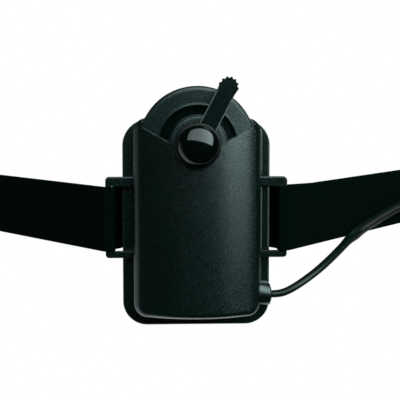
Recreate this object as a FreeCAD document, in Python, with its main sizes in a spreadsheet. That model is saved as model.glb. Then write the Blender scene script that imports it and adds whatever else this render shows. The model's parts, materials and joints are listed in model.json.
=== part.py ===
import FreeCAD, Part
import math
import os
import re
import Sketcher

# A body-worn microphone: a crowned case with a swivelling microphone arm, carried
# on an elastic belt, with a twin lead that is put away on the belt in a small coil.
# X runs to the right as seen from the front, Z up, and Y from the front to the wearer.
# The origin is the middle of the wearer's face of the case.
# "Forward" sizes are distances in front of that face, towards -Y.

doc = FreeCAD.newDocument("body_microphone")
sheet = doc.addObject("Spreadsheet::Sheet", "Sizes")

# Driving sizes in millimetres and degrees
SIZES = (
    ("flange_side", 4.35),
    ("flange_below", 3.6),
    ("flange_above", 0.35),
    ("flange_corner", 10.5),
    ("flange_foot", 9.5),
    ("flange_thick", 2.6),
    ("rear_depth", 7.0),
    ("rear_side", 0.9),
    ("rear_below", 0.3),
    ("rear_above", 3.8),
    ("rear_corner", 7.5),
    ("rear_round", 1.8),
    ("rear_wall", 3.7),
    ("wall", 1.8),
    ("house_width", 49.0),
    ("house_bottom", 36.9),
    ("house_shoulder", 41.0),
    ("house_corner", 5.0),
    ("bottom_bow", 1.2),
    ("head_step", 2.1),
    ("neck_round", 1.5),
    ("wall_depth", 13.0),
    ("crown", 2.0),
    ("edge_round", 2.3),
    ("cavity_forward", 20.0),
    ("pivot_height", 31.0),
    ("fan_drop", 5.3),
    ("fan_slope", 0.567),
    ("fan_rim", 1.5),
    ("fan_side", 3.4),
    ("fan_flare", 2.4),
    ("hub_radius", 11.0),
    ("channel_outer", 15.1),
    ("ridge_outer", 15.8),
    ("fan_forward", 22.7),
    ("ridge_forward", 23.1),
    ("channel_forward", 21.4),
    ("boss_radius", 3.95),
    ("boss_length", 4.4),
    ("boss_forward", 12.5),
    ("boss_drop", 28.1),
    ("boss_round", 0.6),
    ("boss_clearance", 0.35),
    ("grommet_radius", 2.75),
    ("grommet_inside", 3.5),
    ("grommet_proud", 0.35),
    ("lead_radius", 1.7),
    ("webbing", 25.4),
    ("belt_thick", 1.3),
    ("belt_height", 1.9),
    ("belt_clearance", 0.25),
    ("frame_bar", 2.4),
    ("frame_top", 3.55),
    ("frame_bottom", 2.5),
    ("frame_depth", 3.0),
    ("frame_out", 11.0),
    ("frame_corner", 1.4),
    ("frame_root", 1.6),
    ("slot_above", 0.06),
    ("slot_below", 0.2),
    ("lean", 27.3),
    ("arm_gap", 0.4),
    ("arm_thick", 2.2),
    ("arm_width", 6.8),
    ("arm_overhang", 2.6),
    ("tooth_outer", 3.85),
    ("tooth_inner", 3.1),
    ("arm_root_radius", 7.5),
    ("arm_edge", 0.3),
    ("cap_radius", 8.1),
    ("cap_skirt", 0.9),
    ("cap_rise", 5.3),
    ("shaft_radius", 2.0),
    ("shaft_back", 15.6),
    ("shaft_bore", 0.9),
    ("running_fit", 0.05),
    ("bush_radius", 3.4),
    ("bush_flange", 4.6),
    ("bush_flange_thick", 1.0),
    ("washer_thick", 0.25),
    ("ring_thick", 0.7),
    ("shoe_inner", 11.9),
    ("shoe_outer", 14.5),
    ("shoe_span", 10.0),
    ("shoe_forward", 22.0),
    ("capsule_radius", 2.0),
    ("capsule_thick", 1.5),
    ("pillar_radius", 2.5),
    ("pillar_side", 5.9),
    ("pillar_above", 7.0),
    ("pillar_below", 4.7),
    ("screw_radius", 1.1),
    ("screw_head", 2.1),
    ("board_side", 6.5),
    ("board_top", 14.0),
    ("board_gap", 0.5),
    ("clamp_half", 4.4),
    ("clamp_post", 1.8),
    ("clamp_thick", 1.6),
    ("board_thick", 1.2),
    ("board_forward", 10.6),
    ("belt_angle", 55.0),
    ("belt_straight", 112.0),
    ("belt_fall", 24.0),
    ("belt_level", 130.0),
    ("coil_radius", 30.0),
    ("coil_pitch", 3.9),
    ("coil_layer", 5.2),
    ("coil_along", 158.0),
    ("coil_off", 3.4),
    ("coil_top", 1.4),
    ("keeper_along", 122.5),
    ("keeper_wide", 6.0),
    ("tie_wide", 9.0),
    ("band_thick", 1.2),
    ("plug_radius", 4.3),
    ("plug_pin_radius", 1.75),
    ("plug_pin_length", 14.0),
)

for row, (alias, value) in enumerate(SIZES, start=1):
    sheet.set("A%d" % row, alias)
    sheet.set("B%d" % row, str(value))
    sheet.setAlias("B%d" % row, alias)
doc.recompute()

ALIASES = {alias for alias, value in SIZES}

# Places and sizes that follow from the driving sizes
DERIVED = {
    "flange_half": "house_width / 2 + flange_side",
    "flange_low": "house_bottom + flange_below",
    "flange_high": "house_shoulder - flange_above",
    "rear_half": "house_width / 2 + rear_side",
    "rear_low": "house_bottom + rear_below",
    "rear_high": "house_shoulder - rear_above",
    "head_radius": "house_width / 2 - head_step",
    "arm_reach": "head_radius + arm_overhang",
    "fan_outer": "head_radius - fan_rim",
    "fan_corner_x": "house_width / 2 - fan_side",
    "fan_flare_x": "fan_corner_x - fan_flare",
    "boss_end": "house_width / 2 + boss_length",
    "grommet_back": "house_width / 2 - grommet_inside",
    "frame_reach": "house_width / 2 + frame_out",
    "screw_x": "house_width / 2 - pillar_side",
    "screw_top": "house_shoulder - pillar_above",
    "screw_bottom": "house_bottom - pillar_below",
    "board_half": "house_width / 2 - board_side",
    "board_bottom": "boss_drop - clamp_half - clamp_post - board_gap",
    "flange_front": "rear_depth + flange_thick",
    "face": "rear_depth + flange_thick + wall_depth + crown",
    "arm_back": "face + arm_gap",
    "arm_front": "face + arm_gap + arm_thick",
    "bush_back": "cavity_forward - bush_flange_thick",
    "slot_low": "belt_height - webbing / 2 - slot_below",
    "slot_high": "belt_height + webbing / 2 + slot_above",
    "board_front": "board_forward + board_thick",
    "clamp_seat": "boss_forward + lead_radius + 0.1",
}
FRONT = "XZ_Plane"
PLAN = "XY_Plane"
SIDE = "YZ_Plane"


def reference(word):
    """A size's name as a reference to its cell, or a derived size's name as its expression."""
    name = word.group()
    if name in DERIVED:
        return "(" + bound(DERIVED[name]) + ")"
    return "Sizes." + name if name in ALIASES else name


def bound(text):
    """An expression with every size in it tied to the sheet."""
    return re.sub(r"[a-z_]+", reference, str(text))


def size(text):
    """The value of a size or of an expression in sizes."""
    return float(sheet.evalExpression(bound(text)))


def body(name):
    made = doc.addObject("PartDesign::Body", name)
    made.Label = name
    return made


def sketch(owner, name, role, offset="0"):
    """A sketch on one of the body's own planes; on FRONT the offset is the forward distance."""
    made = owner.newObject("Sketcher::SketchObject", name)
    base = [f for f in owner.Origin.OriginFeatures if f.Role == role][0]
    made.AttachmentSupport = [(base, "")]
    made.MapMode = "FlatFace"
    made.setExpression(".AttachmentOffset.Base.z", bound(offset))
    return made


def tie_point(sk, index, place, x_text, y_text):
    """Holds one end of an edge, or a centre, at a bound place."""
    for kind, text in (("DistanceX", x_text), ("DistanceY", y_text)):
        value = float(sk.evalExpression(bound(text)))
        made = sk.addConstraint(Sketcher.Constraint(kind, -1, 1, index, place, value))
        sk.setExpression("Constraints[%d]" % made, bound(text))


def circle(sk, x_text, y_text, r_text):
    at = [float(sk.evalExpression(bound(text))) for text in (x_text, y_text, r_text)]
    centre = FreeCAD.Vector(at[0], at[1], 0)
    index = sk.addGeometry(Part.Circle(centre, FreeCAD.Vector(0, 0, 1), at[2]))
    tie_point(sk, index, 3, x_text, y_text)
    made = sk.addConstraint(Sketcher.Constraint("Radius", index, at[2]))
    sk.setExpression("Constraints[%d]" % made, bound(r_text))


def outline(sk, corners):
    """A closed outline: each corner is (x, y), or (x, y, radius, side) where the edge
    that leaves it is an arc under half a circle, bulging to the left (1) or right (-1)."""
    ends = []
    for corner in corners:
        x, y = [float(sk.evalExpression(bound(text))) for text in corner[:2]]
        ends.append(FreeCAD.Vector(x, y, 0))
    first = sk.GeometryCount
    count = len(corners)
    for number, corner in enumerate(corners):
        start, end = ends[number], ends[(number + 1) % count]
        if len(corner) == 2:
            sk.addGeometry(Part.LineSegment(start, end))
            continue
        radius = float(sk.evalExpression(bound(corner[2])))
        chord = end - start
        rise = radius - math.sqrt(max(radius ** 2 - chord.Length ** 2 / 4, 0))
        left = FreeCAD.Vector(-chord.y, chord.x, 0).normalize()
        middle = (start + end) / 2 + left * rise * corner[3]
        first_end, last_end = (start, end) if corner[3] < 0 else (end, start)
        sk.addGeometry(Part.Arc(first_end, middle, last_end))
    for number in range(count):
        here, following = first + number, first + (number + 1) % count
        sk.addConstraint(Sketcher.Constraint("Coincident", here, end_of(sk, here, ends[(number + 1) % count]),
                                             following, end_of(sk, following, ends[(number + 1) % count])))
    for number, corner in enumerate(corners):
        here = first + number
        tie_point(sk, here, end_of(sk, here, ends[number]), corner[0], corner[1])
        if len(corner) > 2:
            radius = float(sk.evalExpression(bound(corner[2])))
            made = sk.addConstraint(Sketcher.Constraint("Radius", here, radius))
            sk.setExpression("Constraints[%d]" % made, bound(corner[2]))


def end_of(sk, index, point):
    """Which end of an edge lies at a point: arcs always run anticlockwise."""
    edge = sk.Geometry[index]
    return 1 if (edge.StartPoint - point).Length < (edge.EndPoint - point).Length else 2


def box_outline(sk, x0, z0, x1, z1, corner=None, foot=None):
    """A rectangle between two corners, with round corners if a radius is given, and its own
    radius for the lower two if a foot is given."""
    if corner is None:
        outline(sk, ((x0, z0), (x1, z0), (x1, z1), (x0, z1)))
        return
    right = -1
    x0, z0, x1, z1, corner, foot = ["(%s)" % text for text in (x0, z0, x1, z1, corner, foot or corner)]
    outline(sk, (
        ("%s + %s" % (x0, foot), z0), ("%s - %s" % (x1, foot), z0, foot, right),
        (x1, "%s + %s" % (z0, foot)), (x1, "%s - %s" % (z1, corner), corner, right),
        ("%s - %s" % (x1, corner), z1), ("%s + %s" % (x0, corner), z1, corner, right),
        (x0, "%s - %s" % (z1, corner)), (x0, "%s + %s" % (z0, foot), foot, right)))


def pad(owner, sk, length, name=None):
    """Adds material from the sketch along its plane's normal: forward on FRONT."""
    made = owner.newObject("PartDesign::Pad", name or sk.Name + "_pad")
    made.Profile = sk
    made.setExpression("Length", bound(length))
    doc.recompute()
    return made


def pocket(owner, sk, length):
    """Cuts from the sketch along its plane's normal, and checks that something was cut."""
    before = owner.Shape.Volume
    made = owner.newObject("PartDesign::Pocket", sk.Name + "_cut")
    made.Profile = sk
    made.Reversed = True
    made.setExpression("Length", bound(length))
    doc.recompute()
    if owner.Shape.Volume > before - 1e-6:
        raise RuntimeError("nothing cut by " + made.Name)
    return made


def finish_edges(owner, kind, value, test):
    """Rounds (Fillet) or bevels (Chamfer) the edges that the test picks."""
    last = owner.Tip
    names = []
    for number, edge in enumerate(last.Shape.Edges, start=1):
        if edge.Length > 0.01 and test(edge):
            names.append("Edge%d" % number)
    made = owner.newObject("PartDesign::" + kind, owner.Name + "_" + kind.lower() + str(len(owner.Group)))
    made.Base = (last, names)
    made.setExpression("Radius" if kind == "Fillet" else "Size", bound(value))
    doc.recompute()
    return made


def at_forward(edge, forward, slack=0.02):
    """True if the whole edge lies at one forward distance."""
    box = edge.BoundBox
    return abs(-box.YMin - forward) < slack and abs(-box.YMax - forward) < slack


def along_forward(edge, low, high):
    """True for an edge that runs straight forward between two forward distances."""
    box = edge.BoundBox
    return box.XLength < 0.01 and box.ZLength < 0.01 and -box.YMax < low + 0.05 and -box.YMin > high - 0.05


def solid_node(name, shape, placement=None):
    """A piece whose form no profile feature makes, held as a finished shape."""
    made = doc.addObject("Part::Feature", name)
    made.Label = name
    made.Shape = shape
    if placement is not None:
        made.Placement = placement
    return made


def forward_cylinder(owner, name, x, z, radius, start, end):
    sk = sketch(owner, name, FRONT, start)
    circle(sk, x, z, radius)
    return pad(owner, sk, "(%s) - (%s)" % (end, start))


def forward_hole(owner, name, x, z, radius, start, end):
    sk = sketch(owner, name, FRONT, start)
    circle(sk, x, z, radius)
    return pocket(owner, sk, "(%s) - (%s)" % (end, start))


# Where the screws stand, as expressions
BOARD_POSTS = (("5.5 - board_half", "board_top - 4.5"), ("board_half - 5.5", "3.4 - board_bottom"))
CASE_SCREWS = (("-screw_x", "screw_top"), ("screw_x", "screw_top"),
               ("-screw_x", "-screw_bottom"), ("screw_x", "-screw_bottom"))
CLAMP_X = "8.0"
CLAMP_SCREWS = ((CLAMP_X, "clamp_half - boss_drop"), (CLAMP_X, "0 - clamp_half - boss_drop"))


def house_profile(sk, inset):
    """The case's outline without the head: round corners and a bottom edge that bows out."""
    half = "(house_width / 2 - %s)" % inset
    low = "(0 - house_bottom + bottom_bow + %s)" % inset
    high = "(house_shoulder - %s)" % inset
    corner = "(house_corner - %s)" % inset
    flat = "(house_width / 2 - house_corner)"
    bow = "(%s ^ 2 / (2 * bottom_bow) + bottom_bow / 2)" % flat
    outline(sk, (
        ("-" + flat, low, bow, -1), (flat, low, corner, -1),
        (half, low + " + " + corner), (half, high + " - " + corner, corner, -1),
        (flat, high), ("-" + flat, high, corner, -1),
        ("-" + half, high + " - " + corner), ("-" + half, low + " + " + corner, corner, -1)))


def fan_x(radius):
    """Where the fan's straight end meets a circle round the pivot."""
    return ("((fan_slope * fan_drop + sqrt((1 + fan_slope ^ 2) * (%s) ^ 2 - fan_drop ^ 2))"
            " / (1 + fan_slope ^ 2))" % radius)


def fan_z(x):
    return "(pivot_height - fan_drop + fan_slope * %s)" % x


def fan_band(sk, inner, outer):
    """A band of the fan between two circles round the pivot, cut by the straight ends."""
    xi, xo = fan_x(inner), fan_x(outer)
    top_in, top_out = "(pivot_height + %s)" % inner, "(pivot_height + %s)" % outer
    outline(sk, (
        ("-" + xi, fan_z(xi)), ("-" + xo, fan_z(xo), outer, 1), ("0", top_out, outer, 1),
        (xo, fan_z(xo)), (xi, fan_z(xi), inner, -1), ("0", top_in, inner, -1)))


def fan_flared(sk, inner):
    """The fan from an inner circle outwards: its outer corners flare past the arc to the shoulders."""
    flare_z = "(pivot_height + sqrt(fan_outer ^ 2 - fan_flare_x ^ 2))"
    xi = fan_x(inner)
    outline(sk, (
        ("-" + xi, fan_z(xi)), ("-fan_corner_x", fan_z("fan_corner_x")),
        ("-fan_flare_x", flare_z, "fan_outer", 1), ("0", "pivot_height + fan_outer", "fan_outer", 1),
        ("fan_flare_x", flare_z), ("fan_corner_x", fan_z("fan_corner_x")),
        (xi, fan_z(xi), inner, -1), ("0", "pivot_height + " + inner, inner, -1)))


def front_housing():
    """The crowned front shell with its round head, stepped fan recess and lead boss."""
    shell = body("front_housing")
    lower = sketch(shell, "house_base", FRONT, "flange_front")
    house_profile(lower, "0")
    pad(shell, lower, "wall_depth + crown")
    head = sketch(shell, "house_head", FRONT, "flange_front")
    circle(head, "0", "pivot_height", "head_radius")
    pad(shell, head, "wall_depth + crown")
    pivot, head_radius = size("pivot_height"), size("head_radius")
    back, front = size("flange_front"), size("cavity_forward")
    finish_edges(shell, "Fillet", "neck_round", lambda e: along_forward(e, back, front)
                 and abs(math.hypot(e.BoundBox.XMin, e.BoundBox.ZMin - pivot) - head_radius) < 0.02)
    crown_cut = sketch(shell, "house_crown", PLAN, "-house_bottom - 5")
    far, half = "(face + 8)", "(house_width / 2 + 1)"
    radius = "((house_width ^ 2 / 4 + crown ^ 2) / (2 * crown))"
    edge_y = "(sqrt(%s ^ 2 - %s ^ 2) - %s + face)" % (radius, half, radius)
    outline(crown_cut, (
        ("-" + half, "-" + far), (half, "-" + far), (half, "-" + edge_y, radius, 1),
        ("-" + half, "-" + edge_y)))
    pocket(shell, crown_cut, "house_bottom + pivot_height + head_radius + 10")
    front = size("flange_front + wall_depth") - 0.3
    finish_edges(shell, "Fillet", "edge_round", lambda e: -e.BoundBox.YMax > front)
    for name, start, draw in (
            ("fan_ridge", "ridge_forward", lambda sk: fan_flared(sk, "hub_radius")),
            ("fan_floor", "fan_forward", lambda sk: fan_flared(sk, "ridge_outer")),
            ("fan_channel", "channel_forward", lambda sk: fan_band(sk, "hub_radius", "channel_outer"))):
        sk = sketch(shell, name, FRONT, start)
        draw(sk)
        pocket(shell, sk, "face + 2 - " + start)
    inner = sketch(shell, "cavity_lower", FRONT, "flange_front")
    house_profile(inner, "wall")
    pocket(shell, inner, "cavity_forward - flange_front")
    upper = sketch(shell, "cavity_head", FRONT, "flange_front")
    circle(upper, "0", "pivot_height", "head_radius - wall")
    pocket(shell, upper, "cavity_forward - flange_front")
    for number, (x, z) in enumerate(CASE_SCREWS):
        forward_cylinder(shell, "pillar%d" % number, x, z, "pillar_radius",
                         "flange_front", "cavity_forward + 0.5")
    boss = sketch(shell, "lead_boss", SIDE, "house_width / 2 - wall / 2")
    circle(boss, "-boss_forward", "-boss_drop", "boss_radius")
    pad(shell, boss, "boss_end - house_width / 2 + wall / 2")
    end = size("boss_end")
    finish_edges(shell, "Fillet", "boss_round", lambda e: abs(e.BoundBox.XMin - end) < 0.01
                 and abs(e.BoundBox.XMax - end) < 0.01)
    bore = sketch(shell, "boss_bore", SIDE, "house_width / 2 - wall - 1")
    circle(bore, "-boss_forward", "-boss_drop", "grommet_radius + 0.02")
    pocket(shell, bore, "boss_end - house_width / 2 + wall + 3")
    for side, sign in (("right", ""), ("left", "-")):
        for place, low, high in (("low", "slot_low - frame_bottom - 0.1", "slot_low + 0.1"),
                                 ("high", "slot_high - 0.1", "slot_high + frame_top + 0.1")):
            notch = sketch(shell, "notch_%s_%s" % (side, place), FRONT, "flange_front - 1")
            near, away = "%s(house_width / 2 - wall - 0.5)" % sign, "%s(house_width / 2 + 2)" % sign
            outline(notch, ((near, low), (away, low), (away, high), (near, high)))
            pocket(shell, notch, "frame_depth + 1.1")
    for number, (x, z) in enumerate(CASE_SCREWS):
        forward_hole(shell, "pilot%d" % number, x, z, "screw_radius + 0.04",
                     "flange_front - 0.5", "cavity_forward - 1.5")
    forward_hole(shell, "bush_hole", "0", "pivot_height", "bush_radius + 0.02",
                 "cavity_forward - 1", "face + 1")
    return shell


def back_cover():
    """The wearer's side: a flange with a deep rear shell, a belt channel and posts inside."""
    cover = body("back_cover")
    flange = sketch(cover, "flange", FRONT, "rear_depth")
    box_outline(flange, "-flange_half", "-flange_low", "flange_half", "flange_high",
                "flange_corner", "flange_foot")
    pad(cover, flange, "flange_thick")
    head = sketch(cover, "head_back", FRONT, "rear_depth")
    circle(head, "0", "pivot_height", "head_radius - 0.1")
    pad(cover, head, "flange_thick")
    front = size("flange_front")
    finish_edges(cover, "Chamfer", "0.3", lambda e: at_forward(e, front))
    rear = sketch(cover, "rear_shell", FRONT, "0")
    box_outline(rear, "-rear_half", "-rear_low", "rear_half", "rear_high", "rear_corner")
    pad(cover, rear, "rear_depth")
    finish_edges(cover, "Fillet", "rear_round", lambda e: at_forward(e, 0))
    channel = sketch(cover, "belt_channel", FRONT, "-1")
    box_outline(channel, "0 - rear_half - 5", "slot_low - 0.1", "rear_half + 5", "slot_high + 0.1")
    pocket(cover, channel, "1 + belt_thick + belt_clearance")
    room = sketch(cover, "rear_room", FRONT, "rear_wall")
    box_outline(room, "wall + 0.5 - rear_half", "wall + 0.5 - rear_low",
                "rear_half - wall - 0.5", "rear_high - wall", "rear_corner - wall")
    pocket(cover, room, "flange_front - rear_wall + 1")
    for number, (x, z) in enumerate(CASE_SCREWS):
        forward_cylinder(cover, "case_post%d" % number, x, z, "pillar_radius + 0.4",
                         "rear_wall - 0.5", "flange_front")
    for number, (x, z) in enumerate(BOARD_POSTS):
        forward_cylinder(cover, "board_post%d" % number, x, z, "2.4", "rear_wall - 0.5", "board_forward")
    for number, (x, z) in enumerate(CLAMP_SCREWS):
        forward_cylinder(cover, "clamp_post%d" % number, x, z, "clamp_post", "rear_wall - 0.5", "clamp_seat")
    for number, (x, z) in enumerate(CASE_SCREWS):
        forward_hole(cover, "case_hole%d" % number, x, z, "screw_radius + 0.1", "-1", "flange_front + 1")
        forward_hole(cover, "case_sink%d" % number, x, z, "screw_head + 0.1", "-1", "2.2")
    for number, (x, z) in enumerate(BOARD_POSTS):
        forward_hole(cover, "board_pilot%d" % number, x, z, "0.84", "rear_wall + 1.2", "board_forward + 1")
    for number, (x, z) in enumerate(CLAMP_SCREWS):
        forward_hole(cover, "clamp_pilot%d" % number, x, z, "0.74", "rear_wall + 3", "clamp_seat + 1")
    notch = sketch(cover, "boss_notch", FRONT, "rear_depth")
    low, high = "-boss_drop - boss_radius - boss_clearance", "-boss_drop + boss_radius + boss_clearance"
    box_outline(notch, "house_width / 2 - wall / 2 - 0.1", low, "flange_half + 3", high)
    pocket(cover, notch, "flange_thick + 1")
    return cover


def strap_frame(name, sign):
    """A flat frame held between the shells: the belt goes round its outer bar."""
    frame = body(name)
    sk = sketch(frame, name + "_sketch", FRONT, "flange_front")
    root = "%s(house_width / 2 - wall - 0.2 - frame_root)" % sign
    bend = "%s(frame_reach - frame_corner)" % sign
    tip = "%sframe_reach" % sign
    low, high = "(slot_low - frame_bottom)", "(slot_high + frame_top)"
    turn = -1 if sign == "" else 1
    outline(sk, ((root, low), (bend, low, "frame_corner", turn), (tip, low + " + frame_corner"),
                 (tip, high + " - frame_corner", "frame_corner", turn), (bend, high), (root, high)))
    pad(frame, sk, "frame_depth")
    reach = size("frame_reach")
    finish_edges(frame, "Fillet", "0.4", lambda e: abs(abs(e.BoundBox.XMin) - reach) < 0.01
                 and abs(abs(e.BoundBox.XMax) - reach) < 0.01 and e.BoundBox.ZLength > 5)
    window = sketch(frame, name + "_window", FRONT, "flange_front - 1")
    inner = "%s(house_width / 2 - wall - 0.2)" % sign
    outer = "%s(frame_reach - frame_bar)" % sign
    outline(window, ((inner, "slot_low"), (outer, "slot_low"), (outer, "slot_high"), (inner, "slot_high")))
    pocket(frame, window, "frame_depth + 2")
    return frame


def simple_cylinder(name, x, z, radius, start, end, bore=None):
    made = body(name)
    forward_cylinder(made, name + "_disc", x, z, radius, start, end)
    if bore:
        forward_hole(made, name + "_bore", x, z, bore, "(%s) - 1" % start, "(%s) + 1" % end)
    return made


def screws(name, places, head, head_start, head_end, shank, shank_end, slot_depth):
    """A set of alike screws along Y, each with a slotted round head."""
    head, start, stop, shank, end = [size(text) for text in (head, head_start, head_end, shank, shank_end)]
    forward = FreeCAD.Vector(0, -1, 0)
    solids = []
    for x, z in places:
        foot = FreeCAD.Vector(size(x), 0, size(z))
        low, high = min(start, stop), max(start, stop)
        one = Part.makeCylinder(head, high - low, foot + forward * low, forward)
        near, far = min(stop, end), max(stop, end)
        one = one.fuse(Part.makeCylinder(shank, far - near, foot + forward * near, forward))
        cut = Part.makeBox(2 * head + 1, slot_depth * 2, 0.6)
        cut.translate(foot + forward * (start + slot_depth) - FreeCAD.Vector(head + 0.5, 0, 0.3))
        solids.append(one.cut(cut).removeSplitter().Solids[0])
    return solid_node(name, Part.makeCompound(solids))


def arm_placement():
    """The arm's pieces are made upright round the pivot and then lean with it."""
    return FreeCAD.Placement(FreeCAD.Vector(0, 0, size("pivot_height")),
                             FreeCAD.Rotation(FreeCAD.Vector(0, 1, 0), size("lean")))


TEETH = 7
TOOTH_STEP = 28.6
FIRST_TOOTH = 13.8


def tip_corner(radius, turn):
    """A corner of the toothed tip, at an angle from +X round the tip's centre."""
    return "%s * cos(%.1f deg)" % (radius, turn), "arm_reach + %s * sin(%.1f deg)" % (radius, turn)


def swivel_arm():
    """The flat arm: a round root under the cap and a tip with pointed teeth round it."""
    arm = body("swivel_arm")
    root = sketch(arm, "arm_root", FRONT, "arm_back")
    circle(root, "0", "0", "arm_root_radius")
    pad(arm, root, "arm_thick")
    strip = sketch(arm, "arm_strip", FRONT, "arm_back")
    corners = [("-arm_width / 2", "0"), ("arm_width / 2", "0"), ("arm_width / 2", "arm_reach - 1.6")]
    for tooth in range(TEETH):
        turn = FIRST_TOOTH + tooth * TOOTH_STEP
        corners.append(tip_corner("tooth_outer", turn))
        if tooth < TEETH - 1:
            corners.append(tip_corner("tooth_inner", turn + TOOTH_STEP / 2))
    corners.append(("-arm_width / 2", "arm_reach - 1.6"))
    outline(strip, corners)
    pad(arm, strip, "arm_thick")
    front = -size("arm_front")
    reach = size("arm_reach") - 2
    finish_edges(arm, "Chamfer", "arm_edge", lambda e: abs(e.BoundBox.YMin - front) < 0.01
                 and abs(e.BoundBox.YMax - front) < 0.01 and e.BoundBox.ZMax < reach + 0.5
                 and e.BoundBox.ZLength > 10 and e.BoundBox.XLength < 0.01)
    room = sketch(arm, "capsule_room", FRONT, "arm_back - 1")
    circle(room, "0", "arm_reach", "capsule_radius + 0.1")
    pocket(arm, room, "1 + capsule_thick + 0.1")
    channel = sketch(arm, "lead_channel", FRONT, "arm_back - 1")
    box_outline(channel, "-0.8", "shaft_radius - 1", "0.8", "arm_reach - 1")
    pocket(arm, channel, "2.1")
    forward_hole(arm, "arm_bore", "0", "0", "shaft_radius + 0.02", "arm_back - 1", "arm_front + 1")
    arm.Placement = arm_placement()
    return arm


DOME_STEPS = 8


def dome_cap():
    """The glossy cap that hides the pivot: a short skirt under an elliptical dome."""
    cap = body("dome_cap")
    sk = sketch(cap, "cap_half", SIDE, "0")
    corners = [("-arm_front - 0.02", "0"), ("-arm_front - 0.02", "cap_radius - 0.3"),
               ("-arm_front - 0.32", "cap_radius")]
    for step in range(DOME_STEPS):
        turn = 90.0 * step / DOME_STEPS
        corners.append(("-arm_front - cap_skirt - cap_rise * sin(%.2f deg)" % turn,
                        "cap_radius * cos(%.2f deg)" % turn))
    corners.append(("-arm_front - cap_skirt - cap_rise", "0"))
    outline(sk, corners)
    made = cap.newObject("PartDesign::Revolution", "cap_turn")
    made.Profile = sk
    made.ReferenceAxis = (sk, ["H_Axis"])
    made.Angle = 360
    doc.recompute()
    forward_hole(cap, "cap_bore", "0", "0", "shaft_radius + 0.02", "arm_front - 1", "arm_front + 2.6")
    cap.Placement = arm_placement()
    return cap


def pivot_shaft():
    shaft = body("pivot_shaft")
    forward_cylinder(shaft, "shaft_rod", "0", "0", "shaft_radius", "shaft_back", "arm_front + 2.5")
    ring = sketch(shaft, "ring_groove", FRONT, "shaft_back + 1.0")
    circle(ring, "0", "0", "shaft_radius + 1")
    circle(ring, "0", "0", "shaft_radius - 0.35")
    pocket(shaft, ring, "ring_thick + 0.1")
    forward_hole(shaft, "shaft_way", "0", "0", "shaft_bore", "shaft_back - 1", "arm_back + 1.0")
    slot = sketch(shaft, "shaft_slot", FRONT, "arm_back")
    box_outline(slot, "-shaft_bore + 0.1", "0", "shaft_bore - 0.1", "shaft_radius + 1")
    pocket(shaft, slot, "1.0")
    shaft.Placement = arm_placement()
    return shaft


def arm_ring(name, radius, bore, start, end):
    ring = simple_cylinder(name, "0", "0", radius, start, end, bore)
    ring.Placement = arm_placement()
    return ring


def guide_shoe():
    """An arc under the arm that runs in the channel and stops at its ends."""
    shoe = body("guide_shoe")
    sk = sketch(shoe, "shoe_arc", FRONT, "shoe_forward")
    sine, cosine = "sin(shoe_span * 1 deg)", "cos(shoe_span * 1 deg)"
    outline(sk, (
        ("-shoe_inner * " + sine, "shoe_inner * " + cosine),
        ("-shoe_outer * " + sine, "shoe_outer * " + cosine, "shoe_outer", 1),
        ("shoe_outer * " + sine, "shoe_outer * " + cosine),
        ("shoe_inner * " + sine, "shoe_inner * " + cosine, "shoe_inner", -1)))
    pad(shoe, sk, "arm_back - shoe_forward")
    shoe.Placement = arm_placement()
    return shoe


def arm_lead():
    """The capsule's fine lead, laid in the arm's channel and down the hollow shaft."""
    lead = body("capsule_lead")
    strip = sketch(lead, "lead_strip", FRONT, "arm_back + 0.3")
    box_outline(strip, "-0.5", "-0.5", "0.5", "arm_reach - capsule_radius - 0.1")
    pad(lead, strip, "0.6")
    forward_cylinder(lead, "lead_drop", "0", "0", "0.6", "shaft_back", "arm_back + 0.5")
    lead.Placement = arm_placement()
    return lead


def board():
    made = body("circuit_board")
    sk = sketch(made, "board_sketch", FRONT, "board_forward")
    box_outline(sk, "-board_half", "-board_bottom", "board_half", "board_top", "2")
    pad(made, sk, "board_thick")
    for number, (x, z) in enumerate(BOARD_POSTS):
        forward_hole(made, "board_hole%d" % number, x, z, "1.0",
                     "board_forward - 1", "board_forward + board_thick + 1")
    return made


LEAD_SOCKET = (-4.0, 7.5, 4.0, 11.2, 4.0)


def board_part(name, blocks, cylinders=()):
    """Plain electronic parts that stand on the board's front."""
    base = size("board_front")
    made = []
    for x0, z0, x1, z1, tall in blocks:
        made.append(Part.makeBox(x1 - x0, tall, z1 - z0, FreeCAD.Vector(x0, -base - tall, z0)))
    for x, z, radius, tall in cylinders:
        made.append(Part.makeCylinder(radius, tall, FreeCAD.Vector(x, -base, z), FreeCAD.Vector(0, -1, 0)))
    return solid_node(name, made[0] if len(made) == 1 else Part.makeCompound(made))


# The belt's centre line in plan, and places along its free part


BELT_FRONT = -60.0
FALL_RADIUS = 420.0


def belt_angle():
    return math.radians(size("belt_angle"))


def belt_start():
    """Where the belt leaves the frame's outer corner: the free part starts here."""
    away = size("belt_thick") / 2 + 0.15
    turn = belt_angle()
    front = size("flange_front + frame_depth")
    return FreeCAD.Vector(size("frame_reach") + away * math.sin(turn), -front - away * math.cos(turn), 0)


def belt_centre():
    """Centre and radius of the round back of the belt."""
    turn = belt_angle()
    end = belt_start() + FreeCAD.Vector(math.cos(turn), math.sin(turn), 0) * size("belt_straight")
    radius = end.x / math.sin(turn)
    return FreeCAD.Vector(0, end.y + radius * math.cos(turn), 0), radius


def belt_place(along, off=0.0, height=0.0):
    """A point beside the right part of the belt, with the belt's direction and its outward normal."""
    turn = belt_angle()
    if along <= size("belt_straight"):
        ahead = FreeCAD.Vector(math.cos(turn), math.sin(turn), 0)
        base = belt_start() + ahead * along
    else:
        centre, radius = belt_centre()
        more = (along - size("belt_straight")) / radius
        ahead = FreeCAD.Vector(math.cos(turn + more), math.sin(turn + more), 0)
        base = centre + FreeCAD.Vector(ahead.y, -ahead.x, 0) * radius
    outward = FreeCAD.Vector(ahead.y, -ahead.x, 0)
    return base + outward * off + FreeCAD.Vector(0, 0, height), ahead, outward


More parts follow.
